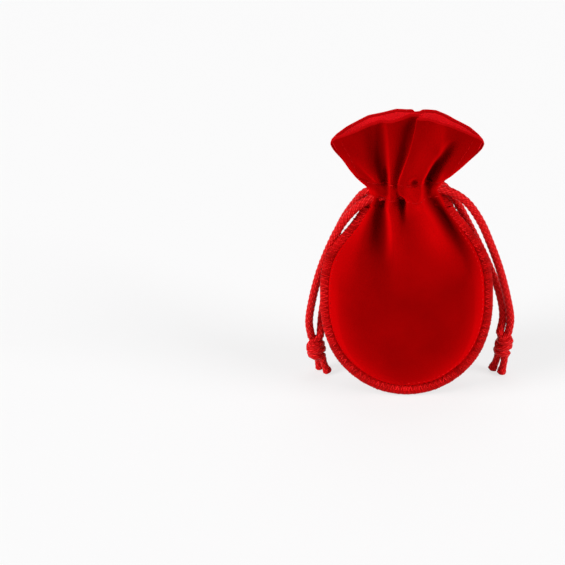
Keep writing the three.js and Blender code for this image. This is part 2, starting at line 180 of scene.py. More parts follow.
def length_of(path):
    return float(distances_along(path)[-1])


def add_mesh(name, points, faces, materials, uvs=None):
    """Makes a smooth mesh object. uvs holds one pair for each point."""
    mesh = bpy.data.meshes.new(name)
    mesh.from_pydata(np.asarray(points).tolist(), [], faces)
    mesh.update()
    mesh.shade_smooth()
    for material in materials:
        mesh.materials.append(material)
    if uvs is not None:
        layer = mesh.uv_layers.new(name="along")
        corner_points = np.zeros(len(mesh.loops), dtype=np.int64)
        mesh.loops.foreach_get("vertex_index", corner_points)
        layer.uv.foreach_set("vector", np.asarray(uvs, dtype=np.float32)[corner_points].ravel())
    return add_object(name, mesh)


# Node helpers for the materials, the stitches and the studio
def new_group(name, kind, inputs, outputs):
    """A node group with its input and output nodes. inputs and outputs give the kind of each named socket."""
    group = bpy.data.node_groups.new(name, f"{kind}NodeTree")
    for way, sockets in (("INPUT", inputs), ("OUTPUT", outputs)):
        for label, socket_kind in sockets.items():
            group.interface.new_socket(name=label, in_out=way, socket_type=f"NodeSocket{socket_kind}")
    return group, group.nodes.new("NodeGroupInput"), group.nodes.new("NodeGroupOutput")


def set_inputs(tree, node, inputs):
    """Links inputs of a node to sockets, or sets them to values. A colour is given as three numbers."""
    for label, value in inputs.items():
        if isinstance(value, bpy.types.NodeSocket):
            tree.links.new(value, node.inputs[label])
        else:
            node.inputs[label].default_value = (*value, 1.0) if isinstance(value, tuple) else value


def add_node(tree, kind, inputs):
    node = tree.nodes.new(kind)
    set_inputs(tree, node, inputs)
    return node


def math_node(tree, operation, *values, clamp=False):
    node = add_node(tree, "ShaderNodeMath", dict(enumerate(values)))
    node.operation = operation
    node.use_clamp = clamp
    return node.outputs[0]


def noise_node(tree, vector, scale, detail, roughness):
    inputs = {"Vector": vector, "Scale": scale, "Detail": detail, "Roughness": roughness}
    return add_node(tree, "ShaderNodeTexNoise", inputs).outputs["Fac"]


def mix_colours(tree, share, first, second):
    node = tree.nodes.new("ShaderNodeMix")
    node.data_type = "RGBA"
    colours = [i for i, socket in enumerate(node.inputs) if socket.type == "RGBA"]
    set_inputs(tree, node, {"Factor": share, colours[0]: first, colours[1]: second})
    return next(socket for socket in node.outputs if socket.type == "RGBA")


def pile_group():
    """Short pile: fine grain and brushed patches."""
    group, start, end = new_group(
        "short_pile", "Shader",
        {"Vector": "Vector", "Grain Scale": "Float", "Patch Scale": "Float", "Dark": "Color",
         "Bright": "Color"},
        {"Color": "Color", "Roughness": "Float", "Height": "Float"},
    )
    given = start.outputs
    grain = noise_node(group, given["Vector"], given["Grain Scale"], 2.0, 0.7)
    patches = noise_node(group, given["Vector"], given["Patch Scale"], 3.0, 0.55)
    brushed = math_node(group, "MULTIPLY_ADD", patches, 1.6, -0.3)
    fine = math_node(group, "MULTIPLY_ADD", grain, 0.7, -0.35)
    share = math_node(group, "ADD", brushed, fine, clamp=True)
    set_inputs(group, end, {
        "Color": mix_colours(group, share, given["Dark"], given["Bright"]),
        "Roughness": math_node(group, "MULTIPLY_ADD", grain, 0.15, 0.78),
        "Height": math_node(group, "ADD", grain, patches),
    })
    return group


def filament_group():
    """Fine shiny filaments slantwise round a thread or a braided cord: painted glints, painted shade between.
    """
    group, start, end = new_group(
        "filaments", "Shader",
        {"UV": "Vector", "Turns": "Float", "Slant": "Float", "Dark": "Color", "Bright": "Color"},
        {"Color": "Color", "Height": "Float"},
    )
    given = start.outputs
    parts = add_node(group, "ShaderNodeSeparateXYZ", {0: given["UV"]})
    round_way = math_node(group, "MULTIPLY", parts.outputs["X"], given["Turns"])
    long_way = math_node(group, "MULTIPLY", parts.outputs["Y"], given["Slant"])
    wave = math_node(group, "SINE", math_node(group, "ADD", round_way, long_way))
    height = math_node(group, "MULTIPLY_ADD", wave, 0.5, 0.5)
    uneven = noise_node(group, given["UV"], 90.0, 2.0, 0.6)
    dull = math_node(group, "MULTIPLY", height, uneven, clamp=True)
    # The bright colour is a painted glint on each filament, the dark one painted shade between them
    share = math_node(group, "MULTIPLY", dull, 1.8, clamp=True)
    colour = mix_colours(group, share, given["Dark"], given["Bright"])
    set_inputs(group, end, {"Color": colour, "Height": height})
    return group


PILE = pile_group()
FILAMENTS = filament_group()


def new_material(name):
    material = bpy.data.materials.new(name)
    material.use_nodes = True
    shader = material.node_tree.nodes["Principled BSDF"]
    return material, material.node_tree, shader


def place_group(tree, group, inputs):
    node = tree.nodes.new("ShaderNodeGroup")
    node.node_tree = group
    set_inputs(tree, node, inputs)
    return node


def add_bump(tree, shader, height, strength, distance):
    bump = add_node(tree, "ShaderNodeBump", {"Strength": strength, "Distance": distance, "Height": height})
    tree.links.new(bump.outputs["Normal"], shader.inputs["Normal"])


def read_value(tree, name):
    node = tree.nodes.new("ShaderNodeAttribute")
    node.attribute_name = name
    return node.outputs["Fac"]


def velvet_material(name, dark, bright, painted_sheen, painted_recess_shade, sheen):
    """Velvet: dark seen straight on; painted sheen side on, painted light on crests, painted shade deep in
    folds.
    """
    material, tree, shader = new_material(name)
    place = tree.nodes.new("ShaderNodeTexCoord").outputs["Object"]
    scales = {"Grain Scale": GRAIN_SCALE, "Patch Scale": PATCH_SCALE}
    pile = place_group(tree, PILE, {"Vector": place, **scales, "Dark": dark, "Bright": bright})
    # Painted sheen: where the pile is seen side on, the colour turns towards the bright side-on colour
    weight = add_node(tree, "ShaderNodeLayerWeight", {"Blend": 0.5})
    painted_sheen_share = math_node(tree, "POWER", weight.outputs["Facing"], PAINTED_SHEEN_POWER)
    # The folds' relief gives painted light on crests and, as depth, painted shade in recesses and pockets
    fold = read_value(tree, "fold")
    painted_crest_light = math_node(tree, "MULTIPLY", fold, PAINTED_CREST_LIGHT_SHARE, clamp=True)
    depth = math_node(tree, "MULTIPLY", fold, -PAINTED_RECESS_SHADE_SHARE, clamp=True)
    painted_light_share = math_node(tree, "ADD", painted_sheen_share, painted_crest_light, clamp=True)
    colour = mix_colours(tree, painted_light_share, pile.outputs["Color"], painted_sheen)
    add_bump(tree, shader, pile.outputs["Height"], 0.35, 0.12 * MM)
    set_inputs(tree, shader, {
        "Base Color": mix_colours(tree, depth, colour, painted_recess_shade),
        "Roughness": pile.outputs["Roughness"],
        "Specular IOR Level": 0.0,
        "Sheen Weight": sheen,
        "Sheen Roughness": 0.4,
        "Sheen Tint": (1.0, 0.0, 0.004),
    })
    return material


def place_filaments(tree, dark, bright, turns, slant):
    uv = tree.nodes.new("ShaderNodeUVMap")
    uv.uv_map = "along"
    inputs = {"UV": uv.outputs["UV"], "Turns": turns, "Slant": slant, "Dark": dark, "Bright": bright}
    return place_group(tree, FILAMENTS, inputs)


def braid_material(name, dark, bright, turns, slant):
    """Satin braid: painted glints on top of each carrier, painted shade where the carriers cross under each
    other.
    """
    material, tree, shader = new_material(name)
    filaments = place_filaments(tree, dark, bright, turns, slant)
    # Low braid heights take the dark colour: painted shade where the carriers cross under
    height = math_node(tree, "POWER", read_value(tree, "braid"), 1.2)
    add_bump(tree, shader, filaments.outputs["Height"], 0.3, 0.04 * MM)
    set_inputs(tree, shader, {
        "Base Color": mix_colours(tree, height, dark, filaments.outputs["Color"]),
        "Roughness": 0.36,
        "Specular IOR Level": 0.17,
        "Specular Tint": (1.0, 0.1, 0.1),
        "Sheen Weight": 0.3,
        "Sheen Roughness": 0.3,
        "Sheen Tint": (1.0, 0.01, 0.02),
    })
    return material


def thread_material(name, dark, bright, turns, slant, roughness, strength):
    # The thread's colour is the filaments' painted glints and painted shade
    material, tree, shader = new_material(name)
    filaments = place_filaments(tree, dark, bright, turns, slant)
    add_bump(tree, shader, filaments.outputs["Height"], strength, 0.05 * MM)
    set_inputs(tree, shader, {
        "Base Color": filaments.outputs["Color"],
        "Roughness": roughness,
        "Specular IOR Level": 0.14,
        "Specular Tint": (1.0, 0.25, 0.25),
        "Sheen Weight": 0.25,
        "Sheen Roughness": 0.3,
        "Sheen Tint": (1.0, 0.01, 0.02),
    })
    return material


# Sizes of the pile's grain and patches, the power of its painted side-on sheen, and the painted light on
# crests and painted shade in recesses
GRAIN_SCALE = 5200.0
PATCH_SCALE = 60.0
PAINTED_SHEEN_POWER = 2.0
PAINTED_CREST_LIGHT_SHARE = 0.10
PAINTED_RECESS_SHADE_SHARE = 0.15
# Each velvet's side-on colour is a painted sheen, and its fold colour is a painted shade
VELVET = velvet_material(
    "velvet", dark=(0.18, 0.0003, 0.0004), bright=(0.27, 0.0004, 0.0006), painted_sheen=(0.76, 0.0008, 0.002),
    painted_recess_shade=(0.095, 0.0004, 0.0004), sheen=0.2,
)
LINING = velvet_material(
    "velvet_inside", dark=(0.62, 0.004, 0.007), bright=(0.80, 0.012, 0.018), painted_sheen=(0.95, 0.012, 0.018),
    painted_recess_shade=(0.3, 0.001, 0.002), sheen=0.3,
)
TURNED_RIM = velvet_material(
    "turned_rim", dark=(0.29, 0.001, 0.0015), bright=(0.38, 0.002, 0.003), painted_sheen=(0.78, 0.006, 0.01),
    painted_recess_shade=(0.15, 0.001, 0.001), sheen=0.1,
)
# The braid's dark colour is painted shade between carriers and its bright colour a painted glint
CORD_BRAID = braid_material(
    "satin_braid", dark=(0.42, 0.0008, 0.0014), bright=(1.0, 0.024, 0.026), turns=70.0, slant=40.0
)
# Each thread's dark and bright colours are painted shade and painted glints along its filaments
THREAD = thread_material(
    "sewing_thread", dark=(0.34, 0.0004, 0.0006), bright=(0.52, 0.0012, 0.002), turns=12.0, slant=300.0,
    roughness=0.5, strength=0.15,
)
LOOP_THREAD = thread_material(
    "loop_thread", dark=(0.66, 0.004, 0.005), bright=(0.86, 0.012, 0.014), turns=2.0, slant=60.0,
    roughness=0.4, strength=0.2,
)


# Drawcords: round braided cord, laid along the listed routes
CORD_DIAMETER = 3.0 * MM
CORD_RADIUS = CORD_DIAMETER / 2
BRAID_CARRIERS = 10
BRAID_PITCH = 1.15 * MM
BRAID_RELIEF = 0.26 * MM
# How far the braid's valleys lie inside the cord's radius, as a share of its relief
BRAID_SINK = 0.45
# The rounded end of a cord: how far round each ring lies, and how far the end stands out, in radii
CAP_LEANS = (0.5, 0.85)
CAP_LENGTH = 0.45
CAP_RUN = 0.3
UV_PER_METRE = 0.1 / MM
STRAND_SIDES = 48
KNOT_SIDES = 32
INNER_SIDES = 24
RING_STEP = 0.2 * MM

# Places of the free strands, from the channel to the knot, in metres
CORD_ROUTES = {
    "left_front": [
        (-0.0094, -0.0022, 0.0788), (-0.0106, -0.0017, 0.0786), (-0.0130, -0.0014, 0.0778),
        (-0.0158, -0.0012, 0.0762), (-0.0194, -0.0006, 0.0731), (-0.0245, 0.0010, 0.0663),
        (-0.0292, 0.0025, 0.0566), (-0.0334, 0.0036, 0.0454), (-0.0368, 0.0044, 0.0326),
        (-0.0384, 0.0051, 0.0226), (-0.0377, 0.0056, 0.0157),
    ],
    "left_back": [
        (-0.0094, 0.0038, 0.0788), (-0.0106, 0.0032, 0.0789), (-0.0130, 0.0032, 0.0792),
        (-0.0158, 0.0048, 0.0776), (-0.0194, 0.0076, 0.0726), (-0.0242, 0.0104, 0.0644),
        (-0.0282, 0.0122, 0.0546), (-0.0306, 0.0126, 0.0442), (-0.0320, 0.0112, 0.0336),
        (-0.0336, 0.0084, 0.0234), (-0.0343, 0.0059, 0.0157),
    ],
    "right_front": [
        (0.0094, -0.0022, 0.0821), (0.0106, -0.0015, 0.0821), (0.0132, -0.0010, 0.0812),
        (0.0174, -0.0004, 0.0796), (0.0226, 0.0006, 0.0754), (0.0277, 0.0019, 0.0676),
        (0.0321, 0.0031, 0.0572), (0.0359, 0.0040, 0.0464), (0.0391, 0.0045, 0.0344),
        (0.0409, 0.0047, 0.0242), (0.0402, 0.0048, 0.0177),
    ],
    "right_back": [
        (0.0094, 0.0038, 0.0821), (0.0106, 0.0032, 0.0822), (0.0127, 0.0034, 0.0816),
        (0.0152, 0.0048, 0.0789), (0.0189, 0.0060, 0.0734), (0.0231, 0.0068, 0.0652),
        (0.0276, 0.0074, 0.0558), (0.0322, 0.0079, 0.0454), (0.0364, 0.0080, 0.0342),
        (0.0381, 0.0071, 0.0244), (0.0368, 0.0048, 0.0177),
    ],
}


def frames_along(path):
    """Tangents and two cross directions that don't twist, for each point of a path."""
    tangents = unit(np.gradient(path, axis=0))
    first = np.cross(tangents[0], (0.0, 1.0, 0.0))
    if np.linalg.norm(first) < 1e-3:
        first = np.cross(tangents[0], (1.0, 0.0, 0.0))
    normals = [unit(first)]
    for tangent in tangents[1:]:
        normals.append(unit(normals[-1] - tangent * np.dot(normals[-1], tangent)))
    normals = np.array(normals)
    return tangents, normals, np.cross(tangents, normals)


def braid_height(turn, run):
    """Height 0..1 of an over-and-under braid at a share of a turn and a distance along the cord."""
    climb = run / (2 * BRAID_PITCH)
    one_way = turn * BRAID_CARRIERS / 2 + climb
    other_way = turn * BRAID_CARRIERS / 2 - climb
    over = (np.floor(one_way) + np.floor(other_way)) % 2 < 1
    across = np.where(over, one_way % 1, other_way % 1)
    along = np.where(over, other_way % 1, one_way % 1)
    strand = np.sin(np.pi * across) ** 0.7
    return strand * (0.45 + 0.55 * np.sin(np.pi * along) ** 0.8)


def closed_tube(grid, run):
    """Points, faces and uvs of a tube through rings of points, with a fan of faces at each end."""
    count, sides = grid.shape[:2]
    index = np.arange(count * sides).reshape(count, sides)
    ahead = np.roll(index, -1, axis=1)
    faces = np.stack([index[:-1], ahead[:-1], ahead[1:], index[1:]], axis=-1).reshape(-1, 4).tolist()
    tip = count * sides
    faces += [[b, a, tip] for a, b in zip(index[0].tolist(), ahead[0].tolist())]
    faces += [[a, b, tip + 1] for a, b in zip(index[-1].tolist(), ahead[-1].tolist())]
    points = np.vstack([grid.reshape(-1, 3), grid[0].mean(axis=0), grid[-1].mean(axis=0)])
    along = run * UV_PER_METRE
    uvs = np.stack(np.broadcast_arrays(np.arange(sides) / sides, along[:, None]), axis=-1).reshape(-1, 2)
    return points, faces, np.vstack([uvs, [[0.5, along[0]], [0.5, along[-1]]]])


def braided_tube(path, radius, sides, swell=None):
    """Points, faces, uvs and braid heights of a closed braided tube along a path, with rounded ends."""
    tangents, normals, binormals = frames_along(path)
    run = distances_along(path)
    turn = np.arange(sides) / sides
    height = braid_height(turn, run[:, None])
    radii = radius - BRAID_SINK * BRAID_RELIEF + BRAID_RELIEF * height
    if swell is not None:
        radii = radii * swell(run / run[-1])[:, None]
    angle = 2 * np.pi * turn[:, None]
    ring = np.cos(angle) * normals[:, None] + np.sin(angle) * binormals[:, None]
    rings, runs, heights = [path[:, None] + radii[:, :, None] * ring], [run], [height]
    for lean in CAP_LEANS:
        out = CAP_LENGTH * radius * math.sin(lean * math.pi / 2)
        shrink = math.cos(lean * math.pi / 2)
        low, high = [
            path[end] + sign * tangents[end] * out + radii[end][:, None] * shrink * ring[end]
            for end, sign in ((0, -1), (-1, 1))
        ]
        onward = CAP_RUN * radius * lean
        rings = [low[None], *rings, high[None]]
        runs = [run[:1] - onward, *runs, run[-1:] + onward]
        heights = [height[:1], *heights, height[-1:]]
    points, faces, uvs = closed_tube(np.concatenate(rings), np.concatenate(runs))
    return points, faces, uvs, np.concatenate([np.concatenate(heights).ravel(), [0.5, 0.5]])


def add_value(piece, name, values):
    """Stores one number for each point of a mesh, which a material reads."""
    layer = piece.data.attributes.new(name, "FLOAT", "POINT")
    layer.data.foreach_set("value", np.asarray(values, dtype=np.float32))


def add_cord_piece(name, tubes):
    """Makes one object of one or more braided tubes."""
    points, faces, uvs, heights = zip(*tubes)
    joined = []
    offset = 0
    for tube_points, tube_faces in zip(points, faces):
        joined += [[i + offset for i in face] for face in tube_faces]
        offset += len(tube_points)
    piece = add_mesh(name, np.vstack(points), joined, [CORD_BRAID], np.vstack(uvs))
    # The braid heights are the mask of the painted shade between the carriers
    add_value(piece, "braid", np.concatenate(heights))
    return piece


strands = {}
strand_paths = {}
for label, route in CORD_ROUTES.items():
    path = smooth_route(route, int(length_of(smooth_route(route, 60)) / RING_STEP))
    side, face = label.split("_")
    strands[label] = add_cord_piece(f"{side}_strand_{face}", [braided_tube(path, CORD_RADIUS, STRAND_SIDES)])
    strand_paths[label] = path

# Knots: the two strands wound round each other, and the two cut tails under them
KNOT_WRAP_RADIUS = 2.3 * MM
KNOT_CORD_RADIUS = 1.5 * MM
KNOT_SLANT = 1.1 * MM
KNOT_TURNS = 1.3
KNOT_WAIST = 0.86
# The cord in the middle of a knot: its radius, and how far up and down it reaches, as a share of the height
CORE_RADIUS = 1.6 * MM
CORE_REACH = 0.36
# Each tail: x and y where it leaves the knot, x and y of its cut end
KNOTS = {
    "left": {
        "middle": (-0.0360, 0.0057, 0.0104), "height": 9.0 * MM, "lean": 1.0 * MM, "turn": 0.15,
        "tails": [(-0.0358, 0.0069, -0.0349, 0.0073), (-0.0336, 0.0043, -0.0316, 0.0041)],
    },
    "right": {
        "middle": (0.0385, 0.0048, 0.0124), "height": 9.0 * MM, "lean": -0.8 * MM, "turn": 0.62,
        "tails": [(0.0369, 0.0061, 0.0345, 0.0064), (0.0392, 0.0034, 0.0379, 0.0032)],
    },
}
TAIL_RADIUS = CORD_RADIUS * 0.98
TAIL_START = 1.6 * MM
TAIL_FOOT = 0.9 * MM
TAIL_BEND = 0.15


def knot_wrap(knot, start, phase):
    """The centreline of one strand in a knot: in from above, round the core, and down to the tails."""
    middle = np.array(knot["middle"])
    half = knot["height"] / 2
    share = np.linspace(0, 1, 15)
    angle = 2 * np.pi * (knot["turn"] + phase + KNOT_TURNS * share)
    waist = KNOT_WRAP_RADIUS * (KNOT_WAIST + (1 - KNOT_WAIST) * np.sin(np.pi * share))
    x = middle[0] + waist * np.cos(angle) + knot["lean"] * (share - 0.5)
    y = middle[1] + waist * np.sin(angle)
    z = middle[2] + (half - KNOT_CORD_RADIUS) * (1 - 2 * share)
    z += KNOT_SLANT * np.cos(angle) * np.sin(np.pi * share)
    below = middle + np.array([knot["lean"] * 0.8, 0, -half + 0.4 * MM])
    return smooth_route(np.vstack([start, np.column_stack([x, y, z]), below]), 150)


def tail_path(knot, tail):
    x, y, foot_x, foot_y = tail
    top = np.array([x, y, knot["middle"][2] - knot["height"] / 2 + TAIL_START])
    foot = np.array([foot_x, foot_y, TAIL_FOOT])
    bend = 0.5 * (top + foot) + np.array([-TAIL_BEND * (foot_x - x), 0, 0])
    return smooth_route([top, bend, foot], 40)


def flared_end(share):
    """A cut cord opens a little at its end."""
    return 1 - 0.08 * ramp(share, 0, 0.3) + 0.26 * ramp(share, 0.6, 0.35)


knots = {}
tails = {}
for side, knot in KNOTS.items():
    tubes = []
    for i, face in enumerate(("front", "back")):
        wrap = knot_wrap(knot, CORD_ROUTES[f"{side}_{face}"][-1], 0.5 * i)
        tubes.append(braided_tube(wrap, KNOT_CORD_RADIUS, KNOT_SIDES))
    heights = np.linspace(-CORE_REACH, CORE_REACH, 12) * knot["height"]
    core = np.array(knot["middle"]) + heights[:, None] * (0, 0, 1)
    tubes.append(braided_tube(core, CORE_RADIUS, INNER_SIDES))
    knots[side] = add_cord_piece(f"{side}_knot_wound", tubes)
    for i, tail in enumerate(knot["tails"]):
        tube = braided_tube(tail_path(knot, tail), TAIL_RADIUS, KNOT_SIDES, flared_end)
        tails[side, i] = add_cord_piece(f"{side}_tail_{i + 1}", [tube])


# Cloth: the sizes of the body, neck and collar
BODY_HALF_WIDTH = 30 * MM
WIDEST_LEVEL = 35 * MM
NECK_BASE = 75 * MM
FRONT_BELLY = 21 * MM
BACK_BELLY = 20 * MM
BOTTOM_LEVEL = 3.7 * MM
BOTTOM_ROUNDNESS = 2.1
FRONT_FULLNESS = 1.95
BACK_FULLNESS = 4.0
EDGE_TOP_Y = 1.5 * MM
EDGE_FORWARD_SWING = 15.5 * MM
EDGE_SWING_LEVEL = 24 * MM
BACK_SAG_ANGLE = 0.58
BACK_SAG_LEVEL = 12 * MM
# Where the lean of the body's faces fades out, as shares of the neck's level
TILT_FADE_FROM = 0.7
TILT_FADE_REACH = 0.27
SHOULDER_END = 82.3 * MM
SHOULDER_HALF_WIDTH = 12.2 * MM
SHOULDER_SHARPNESS = 1.5
BELLY_SHARPNESS = 1.3
NECK_HALF_DEPTH = 9.2 * MM
COLLAR_BASE = 86 * MM
RIM_SIDE_LEVEL = 97.9 * MM
RIM_HALF_DEPTH = 7.5 * MM
RIM_LEAN = 0.9 * MM
LEFT_TUCK = 1.7 * MM
LEFT_TUCK_LEVEL = 66 * MM
LEFT_TUCK_REACH = 9 * MM
BASE_SPREAD = 0.9 * MM
BASE_SPREAD_LEVEL = 12 * MM
BASE_SPREAD_REACH = 10 * MM
LEAST_DEPTH = 3.2 * MM
HALF_GAP = 0.15 * MM
# The sections of body and collar from side to side: how square they are, and how steeply they leave the edge
SQUARENESS = 2.2
LOW_BACK_SQUARENESS = 0.8
CROWN = 0.6
LOW_FRONT_CROWN = 0.85
NECK_CROWN = 0.6
RIM_CROWN = 0.8
# Where the stitches and the cords draw the neck in: share of the way up the neck, reach, depth
NECK_PINCHES = ((0.92, 0.16, 0.16), (0.33, 0.14, 0.10))
SEAM_FLATNESS = 0.3
SEAM_REACH = 0.3
BODY_CLOTH = 1.1 * MM
COLLAR_CLOTH = 1.9 * MM
LOW_COLLAR_CLOTH = 1.0 * MM
THROAT_HALF_WIDTH = 7.9 * MM
THROAT_HALF_DEPTH = 0.9 * MM
LOWEST_INSIDE = 0.4 * MM

# Side edges of the neck and collar: level and half width
COLLAR_SIDES = {
    LEFT: MM * np.array([
        (75, 14.4), (78, 13.7), (81, 14.3), (84.4, 17.6), (87.4, 20.4), (91.7, 23.4), (96.9, 27.5),
        (97.9, 27.9),
    ]),
    RIGHT: MM * np.array([
        (75, 14.4), (79, 13.2), (83, 12.9), (84.8, 14.9), (87.4, 18.4), (91.7, 23.2), (96.9, 28.1),
        (97.9, 28.5),
    ]),
}
# The rim seen from the front: x and level
RIM_LEVELS = {
    FRONT: MM * np.array([
        (-27.8, 97.9), (-27.4, 99.0), (-26, 100.3), (-20.5, 103.1), (-13, 106.6), (-8, 108.4),
        (-4.4, 108.7), (-1.5, 109.4), (1.5, 110.2), (4.5, 110.3), (8, 109.8), (12.5, 108.2), (18, 105.4),
        (23.4, 102.4), (26.6, 100.3), (28.0, 98.9), (28.4, 97.9),
    ]),
    BACK: MM * np.array([
        (-27.8, 97.9), (-27.3, 99.1), (-25.6, 100.6), (-22, 102.8), (-14, 106.4), (-4, 108.2), (1.5, 108.0),
        (3.5, 107.0), (5.5, 108.2), (11, 107.8), (17, 105.6), (23.4, 102.7), (26.4, 100.5), (27.9, 99.0),
        (28.4, 97.9),
    ]),
}

# Soft folds: level, x, how far the cloth stands out, and width, all in millimetres
FRONT_FOLDS = {
    "left_leaf": [
        (110, -12.5, -0.9, 5), (103, -11.8, -2.6, 4.6), (96, -10.8, -3.4, 3.8), (90, -9.6, -2.9, 2.6),
        (86, -8.9, -1.8, 1.7), (81, -9, 0, 2),
    ],
    "left_valley": [
        (81, -9.2, 0, 1.5), (77, -9.8, -2.2, 2.0), (73, -10.4, -3.0, 2.9), (68, -11.0, -3.0, 3.7),
        (62, -11.5, -2.6, 4.5), (56, -12, -1.2, 5.2), (49, -12, 0, 6),
    ],
    "right_valley": [
        (102, 17.5, 0, 3), (97, 14.4, -3.2, 3.0), (91, 10.8, -4.8, 2.5), (87, 8.7, -4.4, 1.9),
        (82.5, 8.0, -1.9, 1.5), (78, 9.6, -2.8, 2.0), (73, 12.6, -4.0, 2.6), (67, 16.0, -3.9, 3.2),
        (61, 19.2, -2.8, 3.4), (55, 21.6, -1.1, 3.4), (49, 23, 0, 3.5),
    ],
    "middle_recess": [
        (111, 1.6, -1.0, 2.0), (106, 0.8, -1.9, 2.0), (97, -1.2, -2.1, 1.8), (91, -3.0, -1.5, 1.3),
        (87, -4.0, -0.8, 1.0), (82, -3.2, -1.2, 1.0), (78, -1.7, -3.4, 1.6), (74.5, -1.3, -2.4, 1.7),
        (70, -1.2, -0.9, 2.0), (64, -1, 0, 2),
    ],
    "right_leaf": [
        (110, 12, 0.4, 4.5), (103, 9.5, 1.0, 4.2), (96, 5.6, 1.3, 3.2), (90, 3.0, 1.3, 2.4),
        (86, 1.6, 0.6, 2.0), (82, 2, 0, 2),
    ],
    "knee": [
        (86, 0.2, 0.5, 1.4), (82.5, 1.6, 1.9, 2.2), (78, 3.4, 2.0, 2.8), (72, 5.0, 1.5, 4.2),
        (64, 8, 0.9, 6), (54, 9, 0.3, 8), (44, 9, 0, 8),
    ],
    "left_shoulder_fold": [
        (96, -19.5, 0.0, 2.5), (91.5, -15.2, 1.0, 2.0), (88, -11.8, 1.4, 1.4), (85.5, -9.6, 1.0, 1.1),
        (82.5, -8.4, 0, 1),
    ],
    "right_shoulder_fold": [
        (102, 20, 0.0, 2.5), (97, 17, 0.9, 2.5), (91.5, 13.6, 1.2, 1.9), (87.5, 10.8, 1.2, 1.5),
        (84.5, 9.2, 0.8, 1.2), (81, 8.8, 0.9, 1.1), (77, 10.4, 0, 1.5),
    ],
    "left_flank": [
        (80, -11.4, 0.4, 1.3), (75, -13.4, 1.6, 1.9), (68, -17.0, 2.2, 3.0), (58, -20.5, 1.4, 4),
        (45, -22, 0, 5),
    ],
    "right_flank": [
        (79, 12.2, 0.8, 1.4), (73, 15.6, 1.6, 1.8), (66, 20.0, 1.6, 2.4), (58, 24.4, 0.6, 2.6),
        (50, 26, 0, 3),
    ],
}
# Folds with a sharp edge: level, x of the edge, how far the right side stands above the left, and how far the
# fold reaches to the left and to the right of its edge, all in millimetres
FRONT_EDGES = {
    "left_ridge": [
        (110, -8.0, 0.8, 4, 3), (104, -7.3, 1.4, 4.5, 3), (97, -7.0, 2.0, 4.5, 2.6),
        (90, -6.7, 2.3, 3.4, 2.0), (86, -6.5, 1.7, 2.4, 1.6), (82.5, -6.3, 1.1, 2.0, 1.6),
        (79.5, -6.6, 1.8, 2.4, 2.0), (76, -7.4, 3.3, 3.0, 2.6), (72, -7.2, 3.7, 4.2, 3.4),
        (66, -7.0, 3.4, 5.4, 4.4), (60, -7.0, 2.1, 6, 5.5), (54, -7.0, 0.8, 6, 6), (48, -7, 0, 6, 6),
    ],
    "lobe_side": [
        (104, 16, 0, 4, 4), (98, 13.5, -0.9, 4, 4), (92.5, 9.6, -2.0, 3.4, 3.6), (89, 7.6, -2.6, 2.8, 3.0),
        (86, 6.1, -2.2, 2.2, 2.4), (82.5, 5.9, -1.6, 2.0, 2.4), (80, 6.0, -1.8, 2.4, 2.4),
        (77.5, 7.1, -2.9, 3.0, 2.8), (72.3, 10.4, -4.1, 4.5, 3.6), (67, 13.6, -4.4, 6, 4.2),
        (62, 17.0, -3.4, 7, 4.4), (57, 20, -1.9, 7, 4.2), (49, 22.5, 0, 7, 4),
    ],
}
BACK_FOLDS = {
    "left_soft": [
        (110, -10, -0.5, 4), (100, -9, -1.4, 3.4), (90, -7.0, -1.8, 2.4), (82, -6.2, -1.2, 1.6),
        (75, -7.2, -2.2, 2.4), (66, -9.0, -1.6, 3.4), (54, -11, 0, 5),
    ],
    "left_lift": [
        (108, -3, 0.6, 3.5), (96, -3, 1.0, 2.6), (86, -2.6, 0.9, 1.6), (78, -2.8, 1.2, 2.0),
        (68, -3.4, 0.9, 3.4), (56, -4, 0, 5),
    ],
    "right_lift": [
        (108, 10, 0.8, 4.5), (96, 8.0, 1.1, 3.4), (86, 5.6, 1.0, 2.0), (78, 6.4, 1.2, 2.4),
        (68, 8.0, 0.9, 4), (56, 10, 0, 6),
    ],
}
BACK_EDGES = {
    "notch": [
        (109, 3.8, -1.4, 2.4, 2.2), (100, 3.2, -1.8, 2.6, 2.4), (90, 2.2, -1.8, 2.0, 2.0),
        (82, 1.6, -1.2, 1.6, 1.6), (75, 2.0, -2.4, 2.6, 2.4), (66, 2.6, -1.6, 4, 3.4), (55, 3, 0, 5, 5),
    ],
    "right_soft": [
        (104, 17, -0.8, 4, 4), (95, 13.0, -1.8, 3.4, 3.0), (87, 8.8, -1.8, 2.0, 2.2),
        (80, 8.0, -1.3, 1.8, 2.0), (74, 9.8, -2.2, 2.8, 2.8), (66, 13, -1.5, 4, 3.6), (54, 17, 0, 5, 5),
    ],
    "left_side": [
        (100, -16, 0, 3, 3), (92, -12.6, 1.2, 2.6, 2.4), (85, -9.4, 1.3, 1.8, 1.8),
        (79, -9.4, 1.2, 1.8, 1.8), (73, -11.6, 1.8, 2.6, 2.8), (64, -15.5, 1.1, 3.6, 4), (54, -19, 0, 4, 5),
    ],
}
EDGE_SHARPNESS = 0.38
# The collar's pleat: level, x of its edge, how far it laps over, how high it stands, and width, millimetres
PLEAT = [
    (111, 4.2, 1.5, 1.7, 1.8), (106, 3.3, 1.4, 1.7, 1.7), (97, 0.9, 1.2, 1.6, 1.5), (91, -1.5, 0.8, 1.3, 1.3),
    (87, -2.8, 0.4, 0.8, 1.1), (84, -3.2, 0.0, 0.3, 1.0), (79, -3.2, 0.0, 0.0, 1.0),
]
PLEAT_REACH = 7.0
PLEAT_STEP = 2.4
# The highest value of distance * exp(-distance squared), which brings the lap to its full size
LAP_PEAK = 0.429
